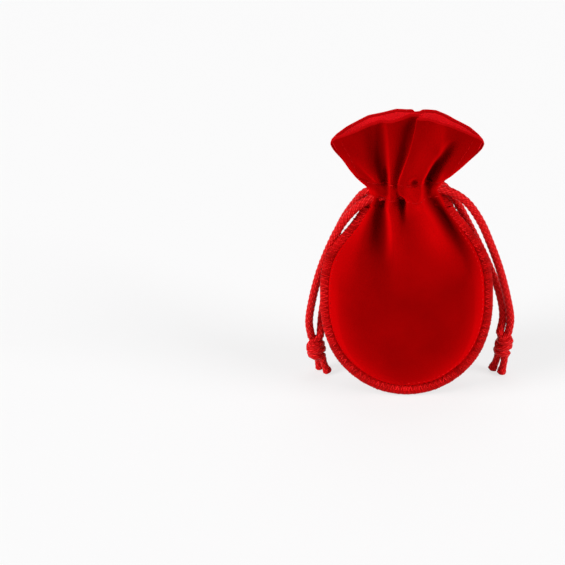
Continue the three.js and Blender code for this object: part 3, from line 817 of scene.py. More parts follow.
# Small deep pockets between the gathers of the front: x, level, depth, half width, half height, millimetres
FRONT_POCKETS = [
    (-8.7, 76.8, 3.2, 1.2, 2.2), (-1.7, 77.8, 3.6, 1.2, 2.4), (2.9, 86.9, 2.0, 1.6, 1.7),
    (-7.2, 88.2, 1.6, 0.9, 3.0),
]


def edge_y(level):
    """The sewn edge leans forward towards the bottom."""
    return EDGE_TOP_Y - EDGE_FORWARD_SWING * np.exp(-level / EDGE_SWING_LEVEL)


def edge_tilt(level, side):
    """How far one face leans with the sewn edge, as an angle. The back sags more near the bottom."""
    slope = EDGE_FORWARD_SWING / EDGE_SWING_LEVEL * np.exp(-level / EDGE_SWING_LEVEL)
    sag = BACK_SAG_ANGLE * np.exp(-level / BACK_SAG_LEVEL) if side == BACK else 0
    return np.arctan(slope) * (1 - ramp(level / NECK_BASE, TILT_FADE_FROM, TILT_FADE_REACH)) + sag


def settle(x, level):
    """The photographed slump: the left shoulder is tucked in a little, and the base is spread."""
    share = np.clip(np.abs(x) / BODY_HALF_WIDTH, 0, 1)
    tuck = LEFT_TUCK * hump(level, LEFT_TUCK_LEVEL, LEFT_TUCK_REACH) * np.where(x < 0, smooth(share * 1.6), 0)
    spread = BASE_SPREAD * hump(level, BASE_SPREAD_LEVEL, BASE_SPREAD_REACH) * share * np.sign(x)
    return x + tuck + spread


def edge_half_width(level, outset=0):
    """Half width of the sewn edge at a level. outset moves the edge outward."""
    drop = WIDEST_LEVEL - (BOTTOM_LEVEL - outset)
    below = (BODY_HALF_WIDTH + outset) * rounded((WIDEST_LEVEL - level) / drop, BOTTOM_ROUNDNESS)
    share = (level - WIDEST_LEVEL) / (SHOULDER_END - WIDEST_LEVEL)
    above = bell(BODY_HALF_WIDTH, SHOULDER_HALF_WIDTH, share, SHOULDER_SHARPNESS) + outset
    return np.where(level < WIDEST_LEVEL, below, above)


def edge_lowest(across, outset=0):
    drop = WIDEST_LEVEL - (BOTTOM_LEVEL - outset)
    return WIDEST_LEVEL - drop * rounded(np.abs(across), BOTTOM_ROUNDNESS)


def belly_depth(level, side):
    depth, fullness = (FRONT_BELLY, FRONT_FULLNESS) if side == FRONT else (BACK_BELLY, BACK_FULLNESS)
    below = depth * rounded((WIDEST_LEVEL - level) / (WIDEST_LEVEL - BOTTOM_LEVEL), fullness)
    share = (level - WIDEST_LEVEL) / (NECK_BASE - WIDEST_LEVEL)
    above = bell(depth, NECK_HALF_DEPTH, share, BELLY_SHARPNESS)
    return np.where(level < WIDEST_LEVEL, below, above)


def folds(x, level, side):
    """How far the folds of one face stand out at a place, in metres."""
    x_mm, level_mm = x / MM, level / MM
    total = np.zeros_like(x_mm)
    for stations in (FRONT_FOLDS if side == FRONT else BACK_FOLDS).values():
        centre, height, width = through_stations(stations, level_mm)
        total += height * hump(x_mm, centre, width)
    for stations in (FRONT_EDGES if side == FRONT else BACK_EDGES).values():
        centre, height, left_reach, right_reach = through_stations(stations, level_mm)
        distance = x_mm - centre
        reach = np.where(distance < 0, left_reach, right_reach)
        turn = np.tanh(distance / (EDGE_SHARPNESS * np.minimum(left_reach, right_reach)))
        total += height * turn * np.exp(-((distance / reach) ** 2))
    if side == FRONT:
        for centre, middle, depth, half_width, half_height in FRONT_POCKETS:
            total -= depth * hump(x_mm, centre, half_width) * hump(level_mm, middle, half_height)
    return total * MM


def pleat(x, level, side):
    """Sideways and outward shift of the cloth at the pleat, in metres."""
    if side == BACK:
        return np.zeros_like(x), np.zeros_like(x)
    centre, lap, step, width = through_stations(PLEAT, level / MM)
    distance = (x / MM - centre) / width
    sideways = -lap * distance * np.exp(-(distance**2)) / LAP_PEAK
    outward = step * (2 * smooth(0.5 + distance / PLEAT_STEP) - 1) * hump(x / MM, centre, PLEAT_REACH)
    return sideways * MM, outward * MM


# The grid of one face of the cloth
COLUMNS = 320
BODY_ROWS = 120
NECK_ROWS = 36
COLLAR_ROWS = 80
NECK_END = BODY_ROWS + NECK_ROWS
COLLAR_END = NECK_END + COLLAR_ROWS
# How much closer the rows lie near the sewn edge
ROW_CROWDING = 1.5
# Where each face is cut into a left and a right piece, across from -1 to 1
SPLIT_AT = 0.12
RIM_STEPS = 6
# Where the collar's cloth grows to its full thickness, and where the lining leaves the throat sideways and
# then outward, which keeps it behind the folds: start and reach, where 1 to 2 goes up the collar
COLLAR_THICKENS = (1.4, 0.45)
LINING_SPREADS = (1.0, 0.2)
LINING_DEEPENS = (1.14, 0.35)
# Kinds of face of a piece of cloth. The first three are also its material slots.
OUTSIDE, INSIDE, TOP_RIM, CUT_EDGE = range(4)


def column_places():
    """Places across the cloth from -1 to 1, closer together at the sides, with one exactly on the split."""
    places = np.sin(np.linspace(-1, 1, COLUMNS + 1) * np.pi / 2)
    split = int(np.argmin(np.abs(places - SPLIT_AT)))
    places[split] = SPLIT_AT
    return places, split


COLUMN_PLACES, SPLIT_COLUMN = column_places()


def side_half_width(across, level):
    left, right = [np.interp(level, *COLLAR_SIDES[half].T) for half in (LEFT, RIGHT)]
    share = smooth(0.5 + across)
    return left * (1 - share) + right * share


def smooth_sides():
    """Rounds the corners between the stations of the collar's side edges."""
    for half, stations in COLLAR_SIDES.items():
        levels = np.linspace(stations[0, 0], stations[-1, 0], 60)
        COLLAR_SIDES[half] = np.column_stack([levels, through_stations(stations.tolist(), levels)[0]])


smooth_sides()


def body_point(x, level, side):
    """A point of the outer surface of the body, for a place in the plane of its sewn edge."""
    share = np.clip(np.abs(x) / np.maximum(edge_half_width(level), 1e-9), 0, 1)
    lowness = 1 - smooth(level / WIDEST_LEVEL)
    squareness = SQUARENESS if side == FRONT else SQUARENESS + LOW_BACK_SQUARENESS * lowness
    inside = np.maximum(0, 1 - share**squareness)
    flatness = SEAM_FLATNESS * (1 - smooth(level / NECK_BASE))
    crown = CROWN + (LOW_FRONT_CROWN - CROWN) * lowness if side == FRONT else CROWN
    crossing = inside**crown * (1 - flatness * (1 - smooth(inside / SEAM_REACH)))
    shift, lift = pleat(x, level, side)
    out = HALF_GAP + crossing * (belly_depth(level, side) + folds(x, level, side) + lift)
    tilt = edge_tilt(level, side)
    y = edge_y(level) - side * out * np.cos(tilt)
    z = level + side * out * np.sin(tilt)
    return np.stack([settle(x + shift, level), y, np.maximum(z, 0)], axis=-1)


def body_face(across, up, side):
    """Outer surface of the body: across -1..1, up 0..1 from the sewn edge to the neck."""
    lowest = edge_lowest(across)
    level = lowest + (NECK_BASE - lowest) * up**ROW_CROWDING
    half_width = edge_half_width(level)
    on_edge = np.sign(across) * np.minimum(np.abs(across) * BODY_HALF_WIDTH, half_width)
    inside = across * np.where(level < WIDEST_LEVEL, BODY_HALF_WIDTH, half_width)
    return body_point(np.where(up > 0, inside, on_edge), level, side)


def collar_face(across, level_share, side):
    """Neck and collar: the outer face and the throat inside it, for level_share 0..1 up the neck and 1..2 up
    the collar."""
    in_neck = np.clip(level_share, 0, 1)
    above = np.clip(level_share - 1, 0, 1)
    side_level = NECK_BASE + (COLLAR_BASE - NECK_BASE) * in_neck + (RIM_SIDE_LEVEL - COLLAR_BASE) * above
    x = across * side_half_width(across, side_level)
    rim = np.interp(across * side_half_width(across, RIM_SIDE_LEVEL), *RIM_LEVELS[side].T)
    level = side_level + (rim - RIM_SIDE_LEVEL) * above
    half_depth = NECK_HALF_DEPTH + (RIM_HALF_DEPTH - NECK_HALF_DEPTH) * smooth(above)
    pinch = 1 - sum(depth * hump(level_share, place, reach) for place, reach, depth in NECK_PINCHES)
    sharpness = NECK_CROWN + (RIM_CROWN - NECK_CROWN) * smooth(above)
    crossing = np.maximum(0, 1 - np.abs(across) ** SQUARENESS) ** sharpness
    shift, lift = pleat(x, level, side)
    stand = half_depth * pinch + folds(x, level, side) + lift
    centre = edge_y(NECK_BASE) + RIM_LEAN * above
    face_out = HALF_GAP + crossing * np.maximum(stand, LEAST_DEPTH)
    face = np.stack([x + shift, centre - side * face_out, level], axis=-1)
    throat_out = HALF_GAP + crossing * THROAT_HALF_DEPTH
    throat = np.stack([across * THROAT_HALF_WIDTH, centre - side * throat_out, level], axis=-1)
    return face, throat


def grid_normals(points, outward):
    """Vertex normals of a grid of points, turned to the side that outward names (-1 is towards -Y)."""
    normals = np.cross(np.gradient(points, axis=1), np.gradient(points, axis=0))
    normals = normals / np.maximum(np.linalg.norm(normals, axis=-1, keepdims=True), 1e-12)
    middle = normals[normals.shape[0] // 2, normals.shape[1] // 2, 1]
    return normals if middle * outward > 0 else -normals


def cloth_grid(side):
    """Outer face and lining of one side of the pouch, as grids: points, normals and the folds' relief."""
    neck_up = np.linspace(0, 1, NECK_ROWS + 1)[1:]
    collar_up = 1 + np.linspace(0, 1, COLLAR_ROWS + 1)[1:]
    across, up = np.meshgrid(COLUMN_PLACES, np.linspace(0, 1, BODY_ROWS + 1))
    body = body_face(across, up, side)
    across, up = np.meshgrid(COLUMN_PLACES, np.concatenate([neck_up, collar_up]))
    collar, throat = collar_face(across, up, side)
    outer = np.concatenate([body, collar])
    outer_normals = grid_normals(outer, -side)
    inner = outer.copy()
    rows = BODY_ROWS + 1
    inner[:rows] -= outer_normals[:rows] * BODY_CLOTH
    thickness = LOW_COLLAR_CLOTH + (COLLAR_CLOTH - LOW_COLLAR_CLOTH) * ramp(up, *COLLAR_THICKENS)
    leaf = collar - outer_normals[rows:] * thickness[..., None]
    spread = ramp(up, *LINING_SPREADS)
    deepen = ramp(up, *LINING_DEEPENS)
    inner[rows:] = throat + (leaf - throat) * np.stack([spread, deepen, deepen], axis=-1)
    inner[:, :, 2] = np.maximum(inner[:, :, 2], LOWEST_INSIDE)
    relief = folds(outer[:, :, 0], outer[:, :, 2], side)
    return outer, outer_normals, inner, grid_normals(inner, side), relief


def rounded_rim(outer, inner, line, beside):
    """Rows of points that round a free border from the outer face to the inner one. line and beside number
    the points of the border and of the row next to it."""
    centre = 0.5 * (outer[line] + inner[line])
    spread = 0.5 * (outer[line] - inner[line])
    away = outer[line] - outer[beside]
    away /= np.maximum(np.linalg.norm(away, axis=1)[:, None], 1e-9)
    away *= np.linalg.norm(spread, axis=1)[:, None]
    angles = [math.pi * step / RIM_STEPS for step in range(1, RIM_STEPS)]
    return [centre + spread * math.cos(angle) + away * math.sin(angle) for angle in angles]


def shell_piece(name, grids, rows, columns, round_edges):
    """A closed piece of cloth cut from the grids. round_edges names the free borders: top, left or right."""
    outer, outer_normals, inner, inner_normals, relief = [grid[rows, columns] for grid in grids]
    height, width = outer.shape[:2]
    count = height * width
    index = np.arange(count).reshape(height, width)
    middle = (height // 2, width // 2)
    to_right = outer[middle[0], middle[1] + 1] - outer[middle]
    upward = outer[middle[0] + 1, middle[1]] - outer[middle]
    way = -1 if np.dot(np.cross(to_right, upward), outer_normals[middle]) < 0 else 1
    outer, inner = outer.reshape(-1, 3), inner.reshape(-1, 3)
    quads = np.stack([index[:-1, :-1], index[:-1, 1:], index[1:, 1:], index[1:, :-1]], axis=-1).reshape(-1, 4)
    points = [outer, inner]
    faces = [quads[:, ::way], quads[:, ::-way] + count]
    kinds = [np.full(len(quads), OUTSIDE), np.full(len(quads), INSIDE)]
    borders = {
        "bottom": (index[0], index[1]),
        "right": (index[:, -1], index[:, -2]),
        "top": (index[-1][::-1], index[-2][::-1]),
        "left": (index[:, 0][::-1], index[:, 1][::-1]),
    }
    total = 2 * count
    rims = []
    for border, (line, beside) in borders.items():
        rim = [line]
        if border in round_edges:
            for row in rounded_rim(outer, inner, line, beside):
                points.append(row)
                rim.append(np.arange(total, total + len(line)))
                total += len(line)
        rim.append(line + count)
        rims.append(rim)
        for near, far in zip(rim[:-1], rim[1:]):
            strip = np.stack([near[:-1], far[:-1], far[1:], near[1:]], axis=-1)
            faces.append(strip[:, ::way])
            kinds.append(np.full(len(strip), TOP_RIM if border == "top" else CUT_EDGE))
    corners = []
    for before, after in zip(rims, rims[1:] + rims[:1]):
        corner = [int(line[-1]) for line in before] + [int(line[0]) for line in after[-2:0:-1]]
        if len(corner) > 2:
            corners.append(corner[::way])
    points, faces, kinds = np.vstack(points), np.vstack(faces), np.concatenate(kinds)
    piece = add_mesh(name, points, faces.tolist() + corners, (VELVET, LINING, TURNED_RIM))
    slots = np.zeros(len(faces) + len(corners), dtype=np.int32)
    slots[: len(faces)] = np.where(kinds == CUT_EDGE, OUTSIDE, kinds)
    piece.data.polygons.foreach_set("material_index", slots)
    # The faces keep the grids' normals. A zero leaves the normal of a rim or a corner to the mesh.
    normals = np.zeros((len(faces), 4, 3))
    normals[kinds == OUTSIDE] = outer_normals.reshape(-1, 3)[faces[kinds == OUTSIDE]]
    normals[kinds == INSIDE] = inner_normals.reshape(-1, 3)[faces[kinds == INSIDE] - count]
    corner_normals = np.zeros((sum(len(corner) for corner in corners), 3))
    piece.data.normals_split_custom_set(np.vstack([normals.reshape(-1, 3), corner_normals]).tolist())
    # The folds' relief is the mask of the velvet's painted crest light and painted recess shade
    folded = np.zeros(len(points))
    folded[:count] = relief.ravel() / MM
    add_value(piece, "fold", folded)
    return piece


# The rows of each band of cloth, and the borders of it that stay free
CLOTH_BANDS = {
    "body": (slice(0, BODY_ROWS + 1), ()),
    "neck": (slice(BODY_ROWS, NECK_END + 1), ("side",)),
    "collar": (slice(NECK_END, COLLAR_END + 1), ("side", "top")),
}
HALF_COLUMNS = {LEFT: slice(0, SPLIT_COLUMN + 1), RIGHT: slice(SPLIT_COLUMN, COLUMNS + 1)}

cloth = {}
for side in (FRONT, BACK):
    grids = cloth_grid(side)
    for half, columns in HALF_COLUMNS.items():
        for band, (rows, free) in CLOTH_BANDS.items():
            round_edges = [SIDE_NAMES[half] if border == "side" else border for border in free]
            name = f"{FACE_NAMES[side]}_{SIDE_NAMES[half]}_{band}_cloth"
            cloth[side, half, band] = shell_piece(name, grids, rows, columns, round_edges)


# Sewn edge: a roll of the two cloth edges wound with thread, loops on both faces, a needle line beside it
BAND_CENTRE = 1.0 * MM
BAND_HALF_WIDTH = 2.3 * MM
BAND_HALF_DEPTH = 1.35 * MM
BAND_SIDES = 20
# Near the shoulders the band is tucked inward: how far, from which level and over what height
BAND_TUCK = 0.9 * MM
BAND_TUCK_LEVEL = 56 * MM
BAND_TUCK_REACH = 18 * MM
# How far below the neck's base the body's band ends
BAND_END_DROP = 1.4 * MM
WRAP_PITCH = 0.5 * MM
WRAP_RADIUS = 0.27 * MM
WRAP_SLANT = 0.55 * MM
WRAP_HALF_WIDTH = BAND_HALF_WIDTH - 0.22 * MM
WRAP_HALF_DEPTH = BAND_HALF_DEPTH - 0.12 * MM
WRAP_POINTS = 18
STITCH_LENGTH = 1.95 * MM
LOOP_RADIUS = 0.15 * MM
LOOP_LIFT = 0.06 * MM
# Above this level the loops are coarse. On the right they are fine all the way.
COARSE_FROM = {LEFT: 22 * MM, RIGHT: 200 * MM}
# One stitch of the loops on each face: along the edge, and out from the middle of the band, millimetres
FINE_LOOP = [
    (-0.66, 0.8), (-0.48, 0.45), (-0.2, -0.35), (0.0, -0.75), (0.2, -0.35), (0.48, 0.45), (0.66, 0.8),
]
COARSE_LOOP = [
    (-0.95, 2.1), (-0.75, 1.5), (-0.42, 0.4), (-0.12, -0.75), (0.05, -0.95), (0.25, -0.4), (0.55, 0.6),
    (0.8, 1.5), (0.95, 2.1),
]
# Where the band goes on above the body, up the sides of the neck, millimetres
EDGE_TOPS = {
    LEFT: [(-14.2, 1.3, 75.0), (-12.6, 1.0, 76.8), (-11.4, 0.8, 78.0)],
    RIGHT: [(14.9, 1.3, 75.0), (13.0, 1.1, 77.2), (11.2, 0.9, 79.0)],
}
NEEDLE_INSET = 0.9 * MM
NEEDLE_PITCH = 1.95 * MM
# Where the needle line ends, on the scale that edge_place reads
NEEDLE_END = 1.8
NEEDLE_STITCH = 1.0 * MM
NEEDLE_RISE = 0.05 * MM
NEEDLE_RADIUS = 0.11 * MM
THREAD_SIDES = 6


def edge_place(along, outset):
    """Place of the sewn edge in its own plane, for along -2..2, moved outward by outset."""
    upper = np.maximum(np.abs(along) - 1, 0)
    across = np.sin(np.pi / 2 * np.clip(along, -1, 1))
    lowest = edge_lowest(across, outset)
    level = lowest + (NECK_BASE - BAND_END_DROP - lowest) * upper
    x = np.sign(across) * edge_half_width(level, outset)
    return np.where(across == 0, 0, x), level


def edge_point(along, outset):
    x, level = edge_place(along, outset)
    return np.stack([settle(x, level), edge_y(level), level], axis=-1)


def away_from_cloth(path, beside, side):
    """Directions away from the cloth along a path on it. beside is the same path, moved a little sideways."""
    outward = np.cross(np.gradient(path, axis=0), beside - path)
    return unit(outward * np.where(outward[:, 1] * side > 0, -1, 1)[:, None])


def needle_row(half, side):
    """The line of the needle thread, just inside the sewn edge, and the directions away from the cloth."""
    along = half * np.linspace(0, NEEDLE_END, 500)
    path = body_point(*edge_place(along, -NEEDLE_INSET), side)
    nearer = body_point(*edge_place(along, -NEEDLE_INSET - 0.3 * MM), side)
    return path, away_from_cloth(path, nearer, side)


def swept_band(path, outward):
    """The band's roll: an oval tube, wide along outward, that narrows to a round tip at both ends."""
    depth_way = np.cross(unit(np.gradient(path, axis=0)), outward)
    angle = 2 * np.pi * np.arange(BAND_SIDES)[:, None] / BAND_SIDES
    share = np.linspace(0, 1, len(path))
    swell = np.sqrt(np.clip(np.minimum(share, 1 - share) * len(path) / 2, 0.02, 1))
    wide = BAND_HALF_WIDTH * np.cos(angle) * outward[:, None]
    deep = BAND_HALF_DEPTH * np.sin(angle) * depth_way[:, None]
    return closed_tube(path[:, None] + swell[:, None, None] * (wide + deep), distances_along(path))


def sewing_tree():
    """Sets a bent piece of thread on every point of a row, turned by the row's own directions."""
    tree, start, end = new_group(
        "sew_row", "Geometry",
        {"Row": "Geometry", "Stitch": "Object", "Thread Radius": "Float", "Unevenness": "Float",
         "Seed": "Int", "Material": "Material"},
        {"Stitches": "Geometry"},
    )
    given = start.outputs
    shape = add_node(tree, "GeometryNodeObjectInfo", {"Object": given["Stitch"]})
    line = add_node(tree, "GeometryNodeMeshToCurve", {"Mesh": shape.outputs["Geometry"]})
    ring_inputs = {"Resolution": THREAD_SIDES, "Radius": given["Thread Radius"]}
    ring = add_node(tree, "GeometryNodeCurvePrimitiveCircle", ring_inputs)
    thread = add_node(tree, "GeometryNodeCurveToMesh", {
        "Curve": line.outputs["Curve"],
        "Profile Curve": ring.outputs["Curve"],
        "Fill Caps": True,
    })
    directions = {}
    for name in ("along", "outward"):
        read = add_node(tree, "GeometryNodeInputNamedAttribute", {"Name": name})
        read.data_type = "FLOAT_VECTOR"
        directions[name] = read.outputs["Attribute"]
    turn_inputs = {"Primary Axis": directions["outward"], "Secondary Axis": directions["along"]}
    turn = add_node(tree, "FunctionNodeAxesToRotation", turn_inputs)
    turn.primary_axis = "Z"
    turn.secondary_axis = "X"
    least = math_node(tree, "SUBTRACT", 1.0, given["Unevenness"])
    most = math_node(tree, "ADD", 1.0, given["Unevenness"])
    size = add_node(tree, "FunctionNodeRandomValue", {2: least, 3: most, "Seed": given["Seed"]})
    places = add_node(tree, "GeometryNodeMeshToPoints", {"Mesh": given["Row"]})
    copies = add_node(tree, "GeometryNodeInstanceOnPoints", {
        "Points": places.outputs["Points"],
        "Instance": thread.outputs["Mesh"],
        "Rotation": turn.outputs["Rotation"],
        "Scale": size.outputs[1],
    })
    real = add_node(tree, "GeometryNodeRealizeInstances", {"Geometry": copies.outputs["Instances"]})
    shaded = add_node(tree, "GeometryNodeSetShadeSmooth", {"Geometry": real.outputs["Geometry"]})
    paint = {"Geometry": shaded.outputs["Geometry"], "Material": given["Material"]}
    painted = add_node(tree, "GeometryNodeSetMaterial", paint)
    tree.links.new(painted.outputs["Geometry"], end.inputs["Stitches"])
    return tree


SEWING = sewing_tree()
SEWING_KEYS = {item.name: item.identifier for item in SEWING.interface.items_tree}


def sew(name, row, shape, thread_radius, material, closed=False, unevenness=0.06, seed=1):
    """Makes one object of equal stitches, one at each place of a row. shape is the line of one stitch: along,
    across, up."""
    places, along, outward = row
    spots = bpy.data.meshes.new(name)
    spots.from_pydata(places.tolist(), [], [])
    for label, values in (("along", along), ("outward", outward)):
        spots.attributes.new(label, "FLOAT_VECTOR", "POINT").data.foreach_set("vector", values.ravel())
    line = bpy.data.meshes.new(f"{name}_line")
    count = len(shape)
    edges = [(i, (i + 1) % count) for i in range(count if closed else count - 1)]
    line.from_pydata(shape.tolist(), edges, [])
    line_object = add_object(f"{name}_line", line)
    piece = add_object(name, spots)
    maker = piece.modifiers.new("sewing", "NODES")
    maker.node_group = SEWING
    for label, value in (("Stitch", line_object), ("Thread Radius", float(thread_radius)),
                         ("Unevenness", float(unevenness)), ("Seed", seed), ("Material", material)):
        maker[SEWING_KEYS[label]] = value
    bpy.context.view_layer.update()
    seen = piece.evaluated_get(bpy.context.evaluated_depsgraph_get())
    sewn = bpy.data.meshes.new_from_object(seen)
    piece.modifiers.clear()
    piece.data = sewn
    sewn.name = name
    bpy.data.objects.remove(line_object)
    return piece


def loop_on_band(stitch, way):
    """Lays a stitch on the oval of the band, on the face that way names."""
    flat = np.array(stitch) * MM
    width, depth = BAND_HALF_WIDTH + LOOP_LIFT, BAND_HALF_DEPTH + LOOP_LIFT
    height = depth * np.sqrt(1 - np.clip(flat[:, 1] / width, -1, 1) ** 2)
    return np.column_stack([flat[:, 0], way * height, flat[:, 1]])


def even_row(path, directions, pitch):
    """Places along a path at an even pitch, with their directions along it and away from it."""
    run = distances_along(path)
    count = max(2, int(run[-1] / pitch))
    even = (np.arange(count) + 0.5) * run[-1] / count
    along = unit(read_between(np.gradient(path, axis=0), run, even))
    return read_between(path, run, even), along, unit(read_between(directions, run, even))


def edge_band_path(half):
    """The middle line of the sewn edge's band on one half of the body, and its outward directions."""
    along = half * np.linspace(-0.03, 2, 400)
    inward = BAND_TUCK * ramp(edge_point(along, 0)[:, 2], BAND_TUCK_LEVEL, BAND_TUCK_REACH)
    middle = edge_point(along, BAND_CENTRE - inward)
    outward = edge_point(along, BAND_CENTRE + 1 * MM - inward) - middle
    outward[np.abs(along) < 0.04, 0] = 0
    return middle, unit(outward)


def wrap_ring():
    """One turn of the thread that is wound round the band, a little slanted."""
    angle = np.linspace(0, 2 * np.pi, WRAP_POINTS, endpoint=False)
    sizes = (WRAP_SLANT, WRAP_HALF_DEPTH, WRAP_HALF_WIDTH)
    return np.column_stack([np.cos(angle), np.sin(angle), np.cos(angle)]) * sizes


def sew_band(half, path, outward, band):
    """Cloth roll, wound thread and the slanted loops on both faces, for one run of the edge."""
    name = f"{SIDE_NAMES[half]}_{band}"
    points, faces, uvs = swept_band(path, outward)
    pieces = [add_mesh(f"{name}_roll", points, faces, [THREAD], uvs)]
    row = even_row(path, outward, WRAP_PITCH)
    wraps = sew(f"{name}_wraps", row, wrap_ring(), WRAP_RADIUS, THREAD, closed=True, unevenness=0.05, seed=3)
    pieces.append(wraps)
    row = even_row(path, outward, STITCH_LENGTH)
    coarse = row[0][:, 2] > COARSE_FROM[half]
    for face in (FRONT, BACK):
        for kind, chosen, shape in (("fine", ~coarse, FINE_LOOP), ("coarse", coarse, COARSE_LOOP)):
            if not chosen.any():
                continue
            label = f"{name}_{FACE_NAMES[face]}_{kind}_loops"
            loop = loop_on_band(shape, face * half)
            places = [part[chosen] for part in row]
            pieces.append(sew(label, places, loop, LOOP_RADIUS, LOOP_THREAD, unevenness=0.09, seed=5))
    return pieces


def dash(length, rise):
    """The line of one straight stitch, whose ends dip into the cloth."""
    profile = ((-1, -2.2), (-0.8, 0.5), (0, 1), (0.8, 0.5), (1, -2.2))
    return np.array([(along * length / 2, 0, up * rise) for along, up in profile])


edge_pieces = {}
for half in (LEFT, RIGHT):
    path, outward = edge_band_path(half)
    below = path[:, 2] < NECK_BASE
    edge_pieces[half, "body"] = sew_band(half, path[below], outward[below], "edge")
    for side in (FRONT, BACK):
        row = even_row(*needle_row(half, side), NEEDLE_PITCH)
        needle = dash(NEEDLE_STITCH, NEEDLE_RISE)
        name = f"{SIDE_NAMES[half]}_edge_{FACE_NAMES[side]}_needle_line"
        # The photograph shows this thread brighter on the right
        # The right half's brighter thread is painted light, the left half's darker thread painted shade
        thread = LOOP_THREAD if half == RIGHT else THREAD
        sewn = sew(name, row, needle, NEEDLE_RADIUS, thread, unevenness=0.1, seed=7)
        edge_pieces[half, "body"].append(sewn)
    top = smooth_route(np.array([path[-1] / MM] + EDGE_TOPS[half]) * MM, 40)
    edge_pieces[half, "neck"] = sew_band(half, top, np.repeat(outward[-1:], len(top), axis=0), "edge_top")


# Stitches of the drawcord channel and of the collar's sides
CHANNEL_STITCH_LEVELS = {"lower": 79.4 * MM, "upper": 85.3 * MM}
CHANNEL_STITCH_PITCH = 2.5 * MM
CHANNEL_STITCH_LENGTH = 1.6 * MM
CHANNEL_STITCH_RISE = 0.07 * MM
CHANNEL_THREAD_RADIUS = 0.15 * MM
# How far out the channel stitches go, as a share of the half width
CHANNEL_REACH = 0.93
# Where the side stitches run: how far across, and from where to where up the collar
SIDE_STITCH_PLACE = 0.86
SIDE_STITCH_SPAN = (1.12, 1.93)
SIDE_STITCH_PITCH = 2.2 * MM
SIDE_STITCH_LENGTH = 1.5 * MM
SIDE_THREAD_RADIUS = 0.1 * MM


def neck_row(side, half, level):
    """A row across one half of the neck's outer face at a level."""
    share = (level - NECK_BASE) / (COLLAR_BASE - NECK_BASE)
    across = np.linspace(SPLIT_AT, half * CHANNEL_REACH, 200)
    path, higher = [collar_face(across, np.full_like(across, at), side)[0] for at in (share, share + 0.03)]
    return path, away_from_cloth(path, higher, side)


def collar_side_row(side, half):
    """A row up one side of the collar's outer face."""
    share = np.linspace(*SIDE_STITCH_SPAN, 120)
    across = np.full_like(share, half * SIDE_STITCH_PLACE)
    path, nearer = [collar_face(at, share, side)[0] for at in (across, across - half * 0.02)]
    return path, away_from_cloth(path, nearer, side)


channel_stitches = {}
side_stitches = {}
for side in (FRONT, BACK):
    for half in (LEFT, RIGHT):
        label = f"{FACE_NAMES[side]}_{SIDE_NAMES[half]}"
        for row_name, level in CHANNEL_STITCH_LEVELS.items():
            row = even_row(*neck_row(side, half, level), CHANNEL_STITCH_PITCH)
            name = f"{label}_{row_name}_channel_stitches"
            stitch = dash(CHANNEL_STITCH_LENGTH, CHANNEL_STITCH_RISE)
            sewn = sew(name, row, stitch, CHANNEL_THREAD_RADIUS, THREAD, unevenness=0.3, seed=11)
            channel_stitches[side, half, row_name] = sewn
        row = even_row(*collar_side_row(side, half), SIDE_STITCH_PITCH)
        stitch = dash(SIDE_STITCH_LENGTH, 0.0)
        sewn = sew(f"{label}_side_stitches", row, stitch, SIDE_THREAD_RADIUS, THREAD, seed=13)
        side_stitches[side, half] = sewn


# Drawcords inside the channel
CORD_LEVELS = {"left": 78.78 * MM, "right": 82.1 * MM}
INSIDE_MIDDLE = 0.8 * MM
INSIDE_DEPTH = 2.3 * MM
INSIDE_RADIUS = 1.35 * MM
# Distances from the middle: where a lead enters the channel, has turned halfway, and runs straight
LEAD_START = 9.3 * MM
LEAD_TURN = 7 * MM
LEAD_STRAIGHT = 4 * MM
# Where the bend at the far side starts, and how far it reaches
BEND_START = 3.5 * MM
BEND_REACH = 6.3 * MM
BEND_POINTS = 24


def add_inside_cord(name, points, count):
    return add_cord_piece(name, [braided_tube(smooth_route(points, count), INSIDE_RADIUS, INNER_SIDES)])


inner_cords = {}
for cord, level in CORD_LEVELS.items():
    own = LEFT if cord == "left" else RIGHT
    for side in (FRONT, BACK):
        face = FACE_NAMES[side]
        y = INSIDE_MIDDLE - side * INSIDE_DEPTH
        exit_y = CORD_ROUTES[f"{cord}_{face}"][0][1]
        lead = [(own * LEAD_START, exit_y, level), (own * LEAD_TURN, 0.5 * (exit_y + y), level),
                (own * LEAD_STRAIGHT, y, level), (0, y, level)]
        inner_cords[own, f"{cord}_cord_{face}_lead"] = add_inside_cord(f"{cord}_cord_inside_{face}", lead, 44)
    turn = np.linspace(-np.pi / 2, np.pi / 2, BEND_POINTS)
    x = -own * (BEND_START + BEND_REACH * np.cos(turn))
    y = INSIDE_MIDDLE + INSIDE_DEPTH * np.sin(turn)
    bend = np.column_stack([x, y, np.full(BEND_POINTS, level)])
    bend = np.vstack([(0, y[0], level), bend, (0, y[-1], level)])
    inner_cords[-own, f"{cord}_cord_bend"] = add_inside_cord(f"{cord}_cord_inside_bend", bend, 110)


# Floor and light
WHITE = (1.0, 1.0, 1.0)
FLOOR_SIZE = 1.6
FLOOR_COLOUR = (0.74, 0.735, 0.74)
# How much of the floor the camera sees as plain white, so that it joins the backdrop
FLOOR_WHITENESS = 0.7
ROOM_STRENGTH = 0.2
# Each softbox: where it stands as seen from the pouch, its width in degrees, its strength
SOFTBOXES = {
    "left_softbox": ((-0.80, -0.40, 0.50), 26, 2.9),
    "right_softbox": ((0.80, -0.34, 0.44), 30, 2.55),
    "top_softbox": ((0.05, 0.45, 0.90), 40, 0.6),
    "front_softbox": ((0.0, -0.95, 0.05), 50, 0.5),
}


